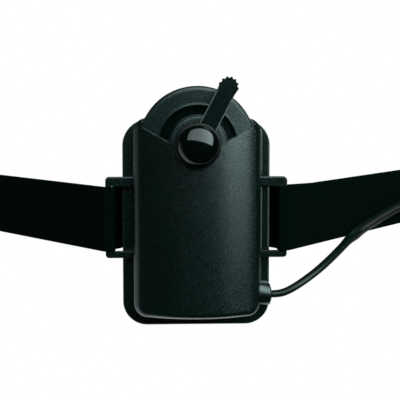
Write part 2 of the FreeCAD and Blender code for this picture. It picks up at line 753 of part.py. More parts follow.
def smooth_wire(points, radii, closed=False):
    """Straight runs joined by tangent arcs, one radius for each inner corner."""
    edges = []
    last = points[0]
    for number in range(1, len(points) - 1):
        here = points[number]
        back, ahead = (points[number - 1] - here).normalize(), (points[number + 1] - here).normalize()
        half = back.getAngle(ahead) / 2
        reach = radii[number - 1] / math.tan(half)
        start, end = here + back * reach, here + ahead * reach
        middle_way = (back + ahead).normalize()
        centre = here + middle_way * (radii[number - 1] / math.sin(half))
        middle = centre - middle_way * radii[number - 1]
        if (start - last).Length > 1e-6:
            edges.append(Part.LineSegment(last, start).toShape())
        edges.append(Part.Arc(start, middle, end).toShape())
        last = end
    if (points[-1] - last).Length > 1e-6:
        edges.append(Part.LineSegment(last, points[-1]).toShape())
    return edges


def belt_edges():
    """The belt's centre line in plan, a closed line through both slots and round the back."""
    half = size("belt_thick") / 2
    bar = size("frame_reach") - size("frame_bar")
    front = size("flange_front + frame_depth")
    start = belt_start()
    slot_x = bar - half - 0.2
    over = -(front + half + 0.15)
    turn = belt_angle()
    bend_x = start.x + (over - start.y) / math.tan(turn)
    centre, radius = belt_centre()
    end = start + FreeCAD.Vector(math.cos(turn), math.sin(turn), 0) * size("belt_straight")
    right = [FreeCAD.Vector(0, -half, 0), FreeCAD.Vector(size("rear_half") + 3.0, -half, 0),
             FreeCAD.Vector(slot_x, -size("rear_depth"), 0), FreeCAD.Vector(slot_x, over, 0),
             FreeCAD.Vector(bend_x, over, 0), end]
    edges = smooth_wire(right, (2.6, 3.0, 1.0, 1.2))
    back = centre + FreeCAD.Vector(0, radius, 0)
    side = centre + FreeCAD.Vector(math.cos(turn / 2 - 0.2), math.sin(turn / 2 - 0.2), 0) * radius
    edges.append(Part.Arc(end, side, back).toShape())
    other = [edge.mirror(FreeCAD.Vector(0, 0, 0), FreeCAD.Vector(1, 0, 0)) for edge in edges]
    return edges, other


def fall_profile(low, high):
    """The side view that trims the belt: level at the sides, then falling towards the back."""
    back = belt_back() + 12
    fall = math.tan(fall_angle()) * (back - size("belt_level"))
    middle = size("belt_height")

    def line(shift):
        points = [FreeCAD.Vector(0, BELT_FRONT, middle + shift),
                  FreeCAD.Vector(0, size("belt_level"), middle + shift),
                  FreeCAD.Vector(0, back, middle + shift - fall)]
        return smooth_wire(points, (FALL_RADIUS,))

    ends = [Part.LineSegment(FreeCAD.Vector(0, BELT_FRONT, middle + low),
                             FreeCAD.Vector(0, BELT_FRONT, middle + high)),
            Part.LineSegment(FreeCAD.Vector(0, back, middle + low - fall),
                             FreeCAD.Vector(0, back, middle + high - fall))]
    edges = line(high) + line(low) + [end.toShape() for end in ends]
    return Part.Face(Part.Wire(Part.__sortEdges__(edges)))


def belt_back():
    """How far to the rear the belt's round back reaches."""
    centre, radius = belt_centre()
    return centre.y + radius


def fall_angle():
    return math.atan(size("belt_fall") / (belt_back() - size("belt_level")))


def belt_drop(rearward):
    """How far the belt's middle has fallen at a place, and its slope there as an angle."""
    bend_start = size("belt_level") - FALL_RADIUS * math.tan(fall_angle() / 2)
    turn = math.asin(min(max((rearward - bend_start) / FALL_RADIUS, 0), math.sin(fall_angle())))
    return FALL_RADIUS * (1 - math.cos(turn)), turn


def fall_solid(low, high):
    wide = 2 * belt_centre()[1] + 40
    face = fall_profile(low, high)
    face.translate(FreeCAD.Vector(-wide / 2, 0, 0))
    return face.extrude(FreeCAD.Vector(wide, 0, 0))


def elastic_belt():
    """The webbing: one closed band through the slots, its plan line trimmed by the side view."""
    right, left = belt_edges()
    wire = Part.Wire(Part.__sortEdges__(right + left))
    half = size("belt_thick") / 2
    outer = wire.makeOffset2D(half)
    inner = wire.makeOffset2D(-half)
    if outer.BoundBox.XLength < inner.BoundBox.XLength:
        outer, inner = inner, outer
    face = Part.Face(outer).cut(Part.Face(inner))
    tall = 2 * (size("webbing") + size("belt_fall"))
    face.translate(FreeCAD.Vector(0, 0, -tall / 2))
    band = face.extrude(FreeCAD.Vector(0, 0, tall))
    shape = band.common(fall_solid(-size("webbing") / 2, size("webbing") / 2)).removeSplitter()
    return solid_node("elastic_belt", shape.Solids[0])


def belt_sector(inner, outer, first, last):
    """A curved slab beside the belt's round back, between two angles from +X."""
    centre, radius = belt_centre()
    tall = 2 * (size("webbing") + size("belt_fall"))
    base = FreeCAD.Vector(centre.x, centre.y, -tall / 2)
    ring = Part.makeCylinder(radius + outer, tall, base, FreeCAD.Vector(0, 0, 1), last - first)
    ring = ring.cut(Part.makeCylinder(radius + inner, tall, base))
    ring.rotate(base, FreeCAD.Vector(0, 0, 1), first)
    return ring


def belt_tail():
    """The belt's free end, a second layer outside the back of the belt."""
    half = size("belt_thick") / 2
    slab = belt_sector(half + 0.05, half + 0.05 + size("belt_thick"), 84, 122)
    shape = slab.common(fall_solid(-size("webbing") / 2, size("webbing") / 2)).removeSplitter()
    return solid_node("belt_tail", shape.Solids[0])


def belt_slider():
    """The length adjuster: a ladder of bars round both layers of the belt."""
    half = size("belt_thick") / 2
    gap, bar = 0.25, 1.8
    outside = half + 0.05 + size("belt_thick") + gap
    wide = size("webbing") / 2 + 0.5
    rim = wide + 2.6
    block = belt_sector(-half - gap - bar, outside + bar, 84.5, 95.5)
    shape = block.common(fall_solid(-rim, rim))
    shape = shape.cut(belt_sector(-half - gap, outside, 80, 100).common(fall_solid(-wide, wide)))
    for first, last in ((86.0, 89.0), (91.0, 94.0)):
        shape = shape.cut(belt_sector(outside - 0.1, outside + bar + 1, first, last)
                          .common(fall_solid(-wide, wide)))
    for first, last in ((83.0, 88.4), (91.6, 97.0)):
        shape = shape.cut(belt_sector(-half - gap - bar - 1, -half - gap + 0.1, first, last)
                          .common(fall_solid(-rim - 1, rim + 1)))
    return solid_node("belt_slider", shape.removeSplitter().Solids[0])


def belt_band(name, along, wide, depth):
    """A flat band round the belt and what lies on its outer side, turned to the belt there."""
    point, ahead, outward = belt_place(along, 0, size("belt_height"))
    drop, slope = belt_drop(point.y)
    thick, half = size("band_thick"), size("belt_thick") / 2
    room = size("webbing") / 2 + 0.3
    outer = Part.makeBox(wide, half + 0.3 + depth + 2 * thick, 2 * (room + thick))
    outer.translate(FreeCAD.Vector(-wide / 2, -depth - thick, -room - thick))
    inner = Part.makeBox(wide + 2, half + 0.3 + depth, 2 * room)
    inner.translate(FreeCAD.Vector(-wide / 2 - 1, -depth, -room))
    edges = [edge for edge in outer.Edges if edge.BoundBox.XLength > wide - 0.01]
    ring = outer.makeFillet(1.0, edges).cut(inner)
    down_line = ahead * math.cos(slope) - FreeCAD.Vector(0, 0, math.sin(slope))
    turn = FreeCAD.Rotation(down_line, outward * -1, down_line.cross(outward * -1), "XYZ")
    return solid_node(name, ring, FreeCAD.Placement(point - FreeCAD.Vector(0, 0, drop), turn))


TUBE_SIDES = 8

# The lead. Its free route: hand-set places from the boss, over the belt, to the coil


FREE_PLACES = ((35.1, 12.4, 27.35), (38.9, 11.7, 25.5), (43.6, 9.5, 22.9),
               (50.0, 4.3, 19.4), (58.0, -6.0, 14.9))
BELT_PLACES = ((48.0, 6.0, 9.0), (66.0, 4.2, 6.9), (90.0, 3.2, 3.6), (117.0, 3.2, 0.6))


def cable_route():
    """Corners of the free lead: the first ones by place, as (x, forward, drop), and the
    later ones beside the belt, as (along, off, drop)."""
    start = FreeCAD.Vector(size("boss_end + grommet_proud"), -size("boss_forward"), -size("boss_drop"))
    points = [start, start + FreeCAD.Vector(2.6, 0, 0)]
    for x, forward, drop in FREE_PLACES:
        points.append(FreeCAD.Vector(x, -forward, -drop))
    for along, off, drop in BELT_PLACES:
        points.append(belt_place(along, off, -drop)[0])
    top, ahead, outward = coil_place()
    points.append(top - ahead * 18)
    points.append(top - ahead * 4.0)
    return points


def coil_place():
    """The coil's first point, at the top of its outer turn, with its direction and normal."""
    return belt_place(size("coil_along"), size("coil_off"), size("coil_top"))


def route_radii(points):
    """Each arc as large as its two runs allow: 0.45 of the shorter, over tan of half the turn."""
    radii = []
    for number in range(1, len(points) - 1):
        back, ahead = points[number - 1] - points[number], points[number + 1] - points[number]
        turn = math.pi - back.getAngle(ahead)
        radii.append(0.45 * min(back.Length, ahead.Length) / math.tan(turn / 2))
    return radii


def tube(edges, radius):
    """A tube of many flats along a smooth line, with its volume set against section times length."""
    wire = Part.Wire(edges)
    start = edges[0].valueAt(edges[0].FirstParameter)
    ahead = edges[0].tangentAt(edges[0].FirstParameter)
    side = ahead.cross(FreeCAD.Vector(0, 0, 1)).normalize() * radius
    corners = []
    for step in range(TUBE_SIDES + 1):
        corners.append(start + FreeCAD.Rotation(ahead, 360.0 * step / TUBE_SIDES).multVec(side))
    ring = Part.makePolygon(corners)
    shape = wire.makePipeShell([ring], True, False)
    solid = shape.Solids[0]
    if solid.Volume < 0:
        solid.reverse()
    ideal = Part.Face(ring).Area * wire.Length
    print("tube length %.1f, volume ratio %.5f" % (wire.Length, solid.Volume / ideal))
    return solid


def cable():
    points = cable_route()
    radii = route_radii(points)
    print("lead radii", [round(radius, 1) for radius in radii])
    print("lead runs", [round((b - a).Length, 1) for a, b in zip(points, points[1:])])
    shape = tube(smooth_wire(points, radii), size("lead_radius"))
    return solid_node("cable", shape)


HALF_TURNS = 10


def coil_points():
    """Ends of the coil's half turns: in by half a pitch each, then out again one layer up.
    The climb starts a step further in, so it clears the turn that it leaves."""
    top, ahead, outward = coil_place()
    up = FreeCAD.Vector(0, 0, 1)
    centre = top - up * size("coil_radius")
    points = []
    for step in range(HALF_TURNS + 1):
        level = 0 if step <= HALF_TURNS // 2 else 1
        inward = min(step, HALF_TURNS + 1 - step)
        if step == HALF_TURNS // 2:
            inward += 1
        radius = size("coil_radius") - inward * size("coil_pitch") / 2
        side = 1 if step % 2 == 0 else -1
        points.append(centre + up * radius * side + outward * size("coil_layer") * level)
    return points


def cable_coil():
    """One unbroken tube: half turns whose ends all run along the belt, so each joins the next."""
    top, ahead, outward = coil_place()
    points = coil_points()
    edges = [Part.LineSegment(top - ahead * 4.0, top).toShape()]
    for step, (start, end) in enumerate(zip(points, points[1:])):
        side = 1 if step % 2 == 0 else -1
        middle = (start + end) / 2 + ahead * ((end - start).Length / 2) * side
        edges.append(Part.Arc(start, middle, end).toShape())
    edges.append(Part.LineSegment(points[-1], points[-1] + ahead * 6.0).toShape())
    shape = tube(edges, size("lead_radius"))
    check_gap(edges[1:-1])
    return solid_node("cable_coil", shape)


def check_gap(arcs):
    """The coil's least gap to itself, on points a step apart that are not next to each other."""
    steps = 24
    marks = []
    for number, arc in enumerate(arcs):
        for step in range(steps):
            at = arc.FirstParameter + (arc.LastParameter - arc.FirstParameter) * step / steps
            marks.append((number * steps + step, arc.valueAt(at)))
    least = min((a[1] - b[1]).Length for a in marks for b in marks if b[0] - a[0] > steps)
    print("coil gap %.2f" % (least - 2 * size("lead_radius")))


def plug_placement():
    """The plug's pieces are turned about X from the coil's end and laid along the belt."""
    top, ahead, outward = coil_place()
    place = coil_points()[-1] + ahead * 6.0
    return FreeCAD.Placement(place, FreeCAD.Rotation(FreeCAD.Vector(1, 0, 0), ahead))


def turned(name, corners):
    """A piece turned about X, from its half profile of bound (x, radius) corners."""
    made = body(name)
    sk = sketch(made, name + "_half", PLAN, "0")
    outline(sk, corners)
    spin = made.newObject("PartDesign::Revolution", name + "_turn")
    spin.Profile = sk
    spin.ReferenceAxis = (sk, ["H_Axis"])
    spin.Angle = 360
    doc.recompute()
    made.Placement = plug_placement()
    return made


def plug():
    """A small screw-locking jack plug: sleeve, body, locking collar and pin."""
    turned("plug_sleeve", (("0", "0"), ("0", "2.3"), ("12", "3.1"), ("13", "3.1"), ("13", "0")))
    turned("plug_body", (("13", "0"), ("13", "3.4"), ("15", "plug_radius"), ("31", "plug_radius"),
                         ("32", "plug_radius - 0.8"), ("32", "0")))
    turned("plug_collar", (("32", "0"), ("32", "plug_radius + 0.1"), ("32.6", "plug_radius + 0.6"),
                           ("38.4", "plug_radius + 0.6"), ("39", "plug_radius + 0.1"), ("39", "0")))
    turned("plug_pin", (("39", "0"), ("39", "plug_pin_radius"),
                        ("39 + plug_pin_length - 3.6", "plug_pin_radius"),
                        ("39 + plug_pin_length - 3.0", "plug_pin_radius - 0.5"),
                        ("39 + plug_pin_length - 2.2", "plug_pin_radius - 0.1"),
                        ("39 + plug_pin_length - 1.2", "plug_pin_radius - 0.4"),
                        ("39 + plug_pin_length", "0.5"), ("39 + plug_pin_length", "0")))


def inner_lead():
    """A slack inner lead from behind the shaft down to the socket on the board."""
    top = FreeCAD.Vector(0, -(size("shaft_back") - 0.3), size("pivot_height"))
    foot = FreeCAD.Vector(0, -size("board_front") - 1.6, LEAD_SOCKET[3] + 0.1)
    points = [top, top + FreeCAD.Vector(0, 2.2, -1.2), top + FreeCAD.Vector(3.0, 2.9, -8.0),
              foot + FreeCAD.Vector(0, 0, 3.4), foot]
    shape = tube(smooth_wire(points, [1.2, 5.0, 3.0]), 0.5)
    return solid_node("inner_lead", shape)


def side_rod(name, radius, start, end, bore=None):
    """A round piece along X on the lead's exit line."""
    made = body(name)
    sk = sketch(made, name + "_ring", SIDE, start)
    circle(sk, "-boss_forward", "-boss_drop", radius)
    if bore:
        circle(sk, "-boss_forward", "-boss_drop", bore)
    pad(made, sk, "(%s) - (%s)" % (end, start))
    return made


def clamp():
    """A saddle over the lead's inner end, screwed to two posts."""
    made = body("cable_clamp")
    sk = sketch(made, "clamp_bar", FRONT, "clamp_seat")
    reach = "(clamp_half + clamp_post)"
    box_outline(sk, CLAMP_X + " - 2.2", "-boss_drop - " + reach, CLAMP_X + " + 2.2", reach + " - boss_drop")
    pad(made, sk, "clamp_thick")
    for number, (x, z) in enumerate(CLAMP_SCREWS):
        forward_hole(made, "clamp_hole%d" % number, x, z, "0.9",
                     "clamp_seat - 1", "clamp_seat + clamp_thick + 1")
    return made


def main():
    front_housing()
    back_cover()
    strap_frame("right_strap_frame", "")
    strap_frame("left_strap_frame", "-")
    bush = body("pivot_bush")
    forward_cylinder(bush, "bush_tube", "0", "pivot_height", "bush_radius",
                     "cavity_forward - 0.5", "face + 0.1")
    forward_cylinder(bush, "bush_rim", "0", "pivot_height", "bush_flange", "bush_back", "cavity_forward")
    forward_hole(bush, "bush_way", "0", "pivot_height", "shaft_radius + running_fit",
                 "bush_back - 1", "face + 2")
    swivel_arm()
    dome_cap()
    pivot_shaft()
    arm_ring("thrust_washer", "bush_radius", "shaft_radius + 0.1",
             "arm_back - 0.02 - washer_thick", "arm_back - 0.02")
    arm_ring("friction_washer", "bush_flange - 0.3", "shaft_radius + 0.1",
             "shaft_back + 1.05 + ring_thick", "bush_back - 0.02")
    arm_ring("retaining_ring", "shaft_radius + 1.6", "shaft_radius - 0.3", "shaft_back + 1.05",
             "shaft_back + 1.05 + ring_thick")
    guide_shoe()
    capsule = simple_cylinder("mic_capsule", "0", "arm_reach", "capsule_radius", "arm_back + 0.05",
                              "arm_back + 0.05 + capsule_thick")
    capsule.Placement = arm_placement()
    arm_lead()
    screws("case_screws", CASE_SCREWS, "screw_head", "0.7", "2.2",
           "screw_radius", "cavity_forward - 2.5", 0.5)
    board()
    board_part("amplifier_chip", ((-4.5, -6.0, 4.5, 1.0, 1.7),))
    board_part("capacitors", (), ((-11.5, -3.0, 2.5, 5.4), (-11.5, -10.5, 2.0, 4.6), (11.0, -4.0, 2.5, 5.4)))
    board_part("lead_socket", (LEAD_SOCKET,))
    board_part("output_socket", ((-3.5, -19.5, 4.5, -15.5, 3.2),))
    screws("board_screws", BOARD_POSTS, "1.9", "board_front + 1.2", "board_front",
           "0.8", "rear_wall + 1.6", 0.4)
    inner_lead()
    side_rod("cable_grommet", "grommet_radius", "grommet_back", "boss_end + grommet_proud",
             "lead_radius + 0.02")
    side_rod("cable_tail", "lead_radius", "4.0", "boss_end + grommet_proud")
    clamp()
    screws("clamp_screws", CLAMP_SCREWS, "1.5", "clamp_seat + clamp_thick + 1.0", "clamp_seat + clamp_thick",
           "0.7", "rear_wall + 4", 0.35)
    elastic_belt()
    belt_tail()
    belt_slider()
    belt_band("cable_keeper", size("keeper_along"), size("keeper_wide"), 3.2 + size("lead_radius") + 0.4)
    belt_band("coil_tie", size("coil_along"), size("tie_wide"),
              size("coil_off + coil_layer + lead_radius") + 0.4)
    cable()
    cable_coil()
    plug()
    doc.recompute()
    export()


def export():
    """Each sub-part that stands on its own becomes one file under its label."""
    os.makedirs("parts", exist_ok=True)
    nodes = []
    for item in doc.Objects:
        if "Invalid" in item.State or "Error" in item.State:
            raise RuntimeError("failed feature: " + item.Name)
        if item.TypeId in ("PartDesign::Body", "Part::Feature"):
            nodes.append(item)
    for item in nodes:
        shape = item.Shape
        if shape.isNull() or not shape.isValid() or not shape.Solids:
            raise RuntimeError("bad shape: " + item.Label)
        shape.exportStep(os.path.join("parts", item.Label + ".step"))
        box = shape.BoundBox
        print("%-18s solids %d volume %9.2f  x %.1f..%.1f y %.1f..%.1f z %.1f..%.1f" % (
            item.Label, len(shape.Solids), shape.Volume, box.XMin, box.XMax, box.YMin, box.YMax,
            box.ZMin, box.ZMax))
    print(len(nodes), "nodes")


main()
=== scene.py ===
import json
import math

import bmesh
import bpy
import numpy as np
from mathutils import Matrix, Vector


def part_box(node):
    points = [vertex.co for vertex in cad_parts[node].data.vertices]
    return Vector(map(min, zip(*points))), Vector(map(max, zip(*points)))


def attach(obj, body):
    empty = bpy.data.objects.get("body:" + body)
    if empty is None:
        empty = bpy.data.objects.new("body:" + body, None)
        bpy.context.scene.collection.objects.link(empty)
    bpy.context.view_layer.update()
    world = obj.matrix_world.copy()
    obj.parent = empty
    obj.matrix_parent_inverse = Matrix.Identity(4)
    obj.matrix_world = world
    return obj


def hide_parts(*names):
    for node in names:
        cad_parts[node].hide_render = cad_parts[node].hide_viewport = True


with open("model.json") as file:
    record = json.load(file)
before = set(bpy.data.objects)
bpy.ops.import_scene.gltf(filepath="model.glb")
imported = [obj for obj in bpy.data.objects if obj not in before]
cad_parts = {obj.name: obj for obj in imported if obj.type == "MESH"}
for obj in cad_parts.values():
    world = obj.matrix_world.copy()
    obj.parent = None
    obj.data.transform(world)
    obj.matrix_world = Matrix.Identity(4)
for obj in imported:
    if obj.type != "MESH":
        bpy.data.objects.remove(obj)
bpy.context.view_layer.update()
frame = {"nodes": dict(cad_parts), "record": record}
mm = 0.001
print("frame loaded:", len(frame["nodes"]), "nodes")


def newObject(name, data):
    # an object in the scene that holds the data
    obj = bpy.data.objects.new(name, data)
    bpy.context.scene.collection.objects.link(obj)
    return obj


# Colour and node helpers

def linearColour(hexText):
    # sRGB hex to linear: the standard two-part curve, straight near black and a power above it
    values = [int(hexText[i:i + 2], 16) / 255 for i in (1, 3, 5)]
    return [v / 12.92 if v <= 0.04045 else ((v + 0.055) / 1.055) ** 2.4 for v in values] + [1.0]


def setInputs(tree, node, inputs):
    # an input is a value for its socket, or another node's socket to link from
    for key, value in inputs.items():
        if isinstance(value, bpy.types.NodeSocket):
            tree.links.new(value, node.inputs[key])
        else:
            node.inputs[key].default_value = value


def addNode(tree, kind, setup=None, inputs=None):
    # one node with its settings and its inputs
    node = tree.nodes.new(kind)
    for key, value in (setup or {}).items():
        setattr(node, key, value)
    setInputs(tree, node, inputs or {})
    return node


def newMaterial(name):
    # a material with one Principled shader on its output
    material = bpy.data.materials.new(name)
    material.use_nodes = True
    material.node_tree.nodes.clear()
    tree = material.node_tree
    shader = addNode(tree, "ShaderNodeBsdfPrincipled")
    addNode(tree, "ShaderNodeOutputMaterial", inputs={"Surface": shader.outputs["BSDF"]})
    return material, tree, shader


def mathNode(tree, operation, *values):
    # arithmetic on values or sockets
    return addNode(tree, "ShaderNodeMath", {"operation": operation}, dict(enumerate(values))).outputs["Value"]


def colourRamp(tree, source, stops):
    # a ramp from sRGB hex stops
    ramp = addNode(tree, "ShaderNodeValToRGB", inputs={"Fac": source})
    elements = ramp.color_ramp.elements
    while len(elements) < len(stops):
        elements.new(0.5)
    for element, (place, hexText) in zip(elements, stops):
        element.position = place
        element.color = linearColour(hexText)
    return ramp.outputs["Color"]


def valueRange(tree, source, low, high, fromLow=0.0, fromHigh=1.0):
    # one range mapped straight on to another, held at both ends
    return addNode(tree, "ShaderNodeMapRange", inputs={
        "Value": source, "From Min": fromLow, "From Max": fromHigh, "To Min": low,
        "To Max": high}).outputs["Result"]


def mixColour(tree, share, skin, hexText):
    # a skin turned towards another colour by a share
    return addNode(tree, "ShaderNodeMix", {"data_type": "RGBA"}, {
        0: share, 6: skin, 7: linearColour(hexText)}).outputs[2]


def objectPlace(tree):
    # the place in the piece's own space
    return addNode(tree, "ShaderNodeTexCoord").outputs["Object"]


def noise(tree, size, detail=2.0, roughness=0.5):
    # noise in the piece's own space, with a grain of the given size in millimetres
    return addNode(tree, "ShaderNodeTexNoise", inputs={
        "Vector": objectPlace(tree), "Scale": 1 / (size * mm), "Detail": detail,
        "Roughness": roughness}).outputs["Fac"]


def bumpNormal(tree, height, depth, strength=1.0, under=None):
    # the normal of a skin raised by height times depth in millimetres, over another normal where one is given
    bump = addNode(tree, "ShaderNodeBump", inputs={
        "Height": height, "Strength": strength, "Distance": depth * mm})
    if under is not None:
        tree.links.new(under, bump.inputs["Normal"])
    return bump.outputs["Normal"]


# Finishes: sizes and depths of grain are in millimetres

coolTint = "#dbffff"  # mouldings and webbing throw a slightly blue-green light
mould = {
    "pit": 1.1, "cell": 0.9, "spark": 1.15,  # sizes of these over the grain's
    "cloud": 18.2, "gloss": 0.09, "glossAt": (0.36, 0.64),  # roughness goes so far either way over this noise
    # sharp sets where the painted highlight on sharp edges fades in; leaving and gone set where the painted
    # highlight on rolled edges rises and fades
    "bevel": 0.2, "sharp": (0.74, 0.93),  # cosine between the bevelled normal and the plain one
    "leaving": (-0.985, -0.88), "gone": (-0.5, -0.15),  # the normal's Y as an edge rolls off the front
}


def grainedPlastic(name, hexLow, hexHigh, roughness, grain=0.3, depth=0.03, ior=1.6, edgeHighlight=None, rolled=None):
    # spark-eroded tool texture: small pits that break the sheen into a fine sparkle; moulded edges are
    # slightly rounded and catch a thin line of light, and a painted highlight pales the base colour there:
    # edgeHighlight paints it where the normal turns sharply, rolled where a rounded edge leaves the front
    material, tree, shader = newMaterial(name)
    pits = noise(tree, grain * mould["pit"], 3.0, 0.6)
    cells = addNode(tree, "ShaderNodeTexVoronoi", {"feature": "SMOOTH_F1"}, {
        "Vector": objectPlace(tree), "Scale": 1 / (grain * mould["cell"] * mm),
        "Smoothness": 0.6}).outputs["Distance"]
    cloud = noise(tree, mould["cloud"], 3.0)
    shade = mathNode(tree, "MULTIPLY_ADD", cloud, 0.5, valueRange(tree, pits, 0.0, 0.5, 0.25, 0.75))
    skin = colourRamp(tree, shade, ((0.25, hexLow), (0.75, hexHigh)))
    rounded = addNode(tree, "ShaderNodeBevel", {"samples": 6}, {
        "Radius": mould["bevel"] * mm}).outputs["Normal"]
    # painted highlight: the base colour turns paler along sharp edges, where the bevelled normal leaves the
    # plain one
    if edgeHighlight:
        edgeHighlightHex, gain = edgeHighlight
        turned = addNode(tree, "ShaderNodeVectorMath", {"operation": "DOT_PRODUCT"}, {
            0: rounded, 1: addNode(tree, "ShaderNodeNewGeometry").outputs["Normal"]}).outputs["Value"]
        skin = mixColour(tree, valueRange(tree, turned, gain, 0.0, *mould["sharp"]), skin, edgeHighlightHex)
    # painted highlight: the base colour turns paler where a rounded edge's normal rolls off the front
    if rolled:
        rollHighlightHex, gain = rolled
        facing = addNode(tree, "ShaderNodeSeparateXYZ", inputs={
            "Vector": addNode(tree, "ShaderNodeTexCoord").outputs["Normal"]}).outputs["Y"]
        leaving = valueRange(tree, facing, 0.0, gain, *mould["leaving"])
        stillAhead = valueRange(tree, facing, 1.0, 0.0, *mould["gone"])
        skin = mixColour(tree, mathNode(tree, "MULTIPLY", leaving, stillAhead), skin, rollHighlightHex)
    sparkle = noise(tree, grain * mould["spark"])
    gloss = mould["gloss"]
    setInputs(tree, shader, {
        "Base Color": skin, "IOR": ior, "Specular Tint": linearColour(coolTint),
        "Roughness": valueRange(tree, sparkle, roughness - gloss, roughness + gloss, *mould["glossAt"]),
        "Normal": bumpNormal(tree, mathNode(tree, "ADD", pits, cells), depth, under=rounded)})
    return material


def polishedPlastic(name, hexLow, hexHigh, roughness, patch=3.85):
    # polished acrylic-like cap: a hard clear gloss with faint polishing haze
    material, tree, shader = newMaterial(name)
    haze = noise(tree, patch, 4.0, 0.6)
    setInputs(tree, shader, {
        "Base Color": colourRamp(tree, haze, ((0.35, hexLow), (0.8, hexHigh))),
        "Roughness": valueRange(tree, haze, roughness * 0.7, roughness * 1.5, 0.3, 0.7),
        "IOR": 1.56, "Specular Tint": linearColour("#e6ffff")})
    return material


def metalFinish(name, hexLow, hexHigh, roughness, line=0.25, depth=0.01):
    # turned or rolled metal: fine tool marks that break its highlights
    material, tree, shader = newMaterial(name)
    marks = noise(tree, line)
    setInputs(tree, shader, {
        "Base Color": colourRamp(tree, marks, ((0.3, hexLow), (0.7, hexHigh))), "Metallic": 1.0,
        "Roughness": valueRange(tree, marks, roughness * 0.8, roughness * 1.25, 0.3, 0.7),
        "Normal": bumpNormal(tree, marks, depth, 0.4)})
    return material


def plainFinish(name, hexLow, hexHigh, roughness, spot=0.8, ior=1.5):
    # small smooth mouldings and lacquer with a slight mottling
    material, tree, shader = newMaterial(name)
    spots = noise(tree, spot, 3.0)
    setInputs(tree, shader, {
        "Base Color": colourRamp(tree, spots, ((0.3, hexLow), (0.7, hexHigh))), "IOR": ior,
        "Roughness": valueRange(tree, spots, roughness - 0.06, roughness + 0.06)})
    return material


def wovenFinish(name, hexLow, hexHigh, rib, pick, depth, fuzz=0.5, slope=0.55, ribShare=0.45):
    # woven elastic on its own UV, in metres: sine ribs along the band, crossed by slanting sine picks, and
    # fuzz over both; it is matt and gives almost no highlight
    material, tree, shader = newMaterial(name)
    uv = addNode(tree, "ShaderNodeUVMap", {"uv_map": "weave"}).outputs["UV"]
    parts = addNode(tree, "ShaderNodeSeparateXYZ", inputs={"Vector": uv}).outputs
    ribs = mathNode(tree, "SINE", mathNode(tree, "MULTIPLY", parts["Y"], 2 * math.pi / (rib * mm)))
    slant = mathNode(tree, "MULTIPLY_ADD", parts["Y"], slope, parts["X"])
    picks = mathNode(tree, "SINE", mathNode(tree, "MULTIPLY", slant, 2 * math.pi / (pick * mm)))
    weave = mathNode(tree, "MULTIPLY_ADD", ribs, ribShare, mathNode(tree, "MULTIPLY", ribs, picks))
    height = mathNode(tree, "ADD", weave, noise(tree, fuzz, 4.0, 0.7))
    shade = valueRange(tree, height, 0.0, 1.0, -1.0, 2.2)
    setInputs(tree, shader, {
        "Base Color": colourRamp(tree, shade, ((0.25, hexLow), (0.8, hexHigh))),
        "Normal": bumpNormal(tree, height, depth), "Roughness": 0.88, "Specular IOR Level": 0.02,
        "Specular Tint": linearColour(coolTint), "Sheen Weight": 0.001, "Sheen Roughness": 0.5})
    return material


def softSheath(name, hexLow, hexHigh, roughness, ior=1.5, swell=0.9, depth=0.02):
    # extruded soft PVC: a smooth skin with a faint unevenness and a satin highlight
    material, tree, shader = newMaterial(name)
    skin = noise(tree, swell, 3.0)
    setInputs(tree, shader, {
        "Base Color": colourRamp(tree, skin, ((0.3, hexLow), (0.7, hexHigh))),
        "Roughness": valueRange(tree, skin, roughness - 0.05, roughness + 0.05, 0.3, 0.7),
        "Normal": bumpNormal(tree, skin, depth, 0.5), "IOR": ior, "Specular Tint": linearColour("#e2ffff")})
    return material


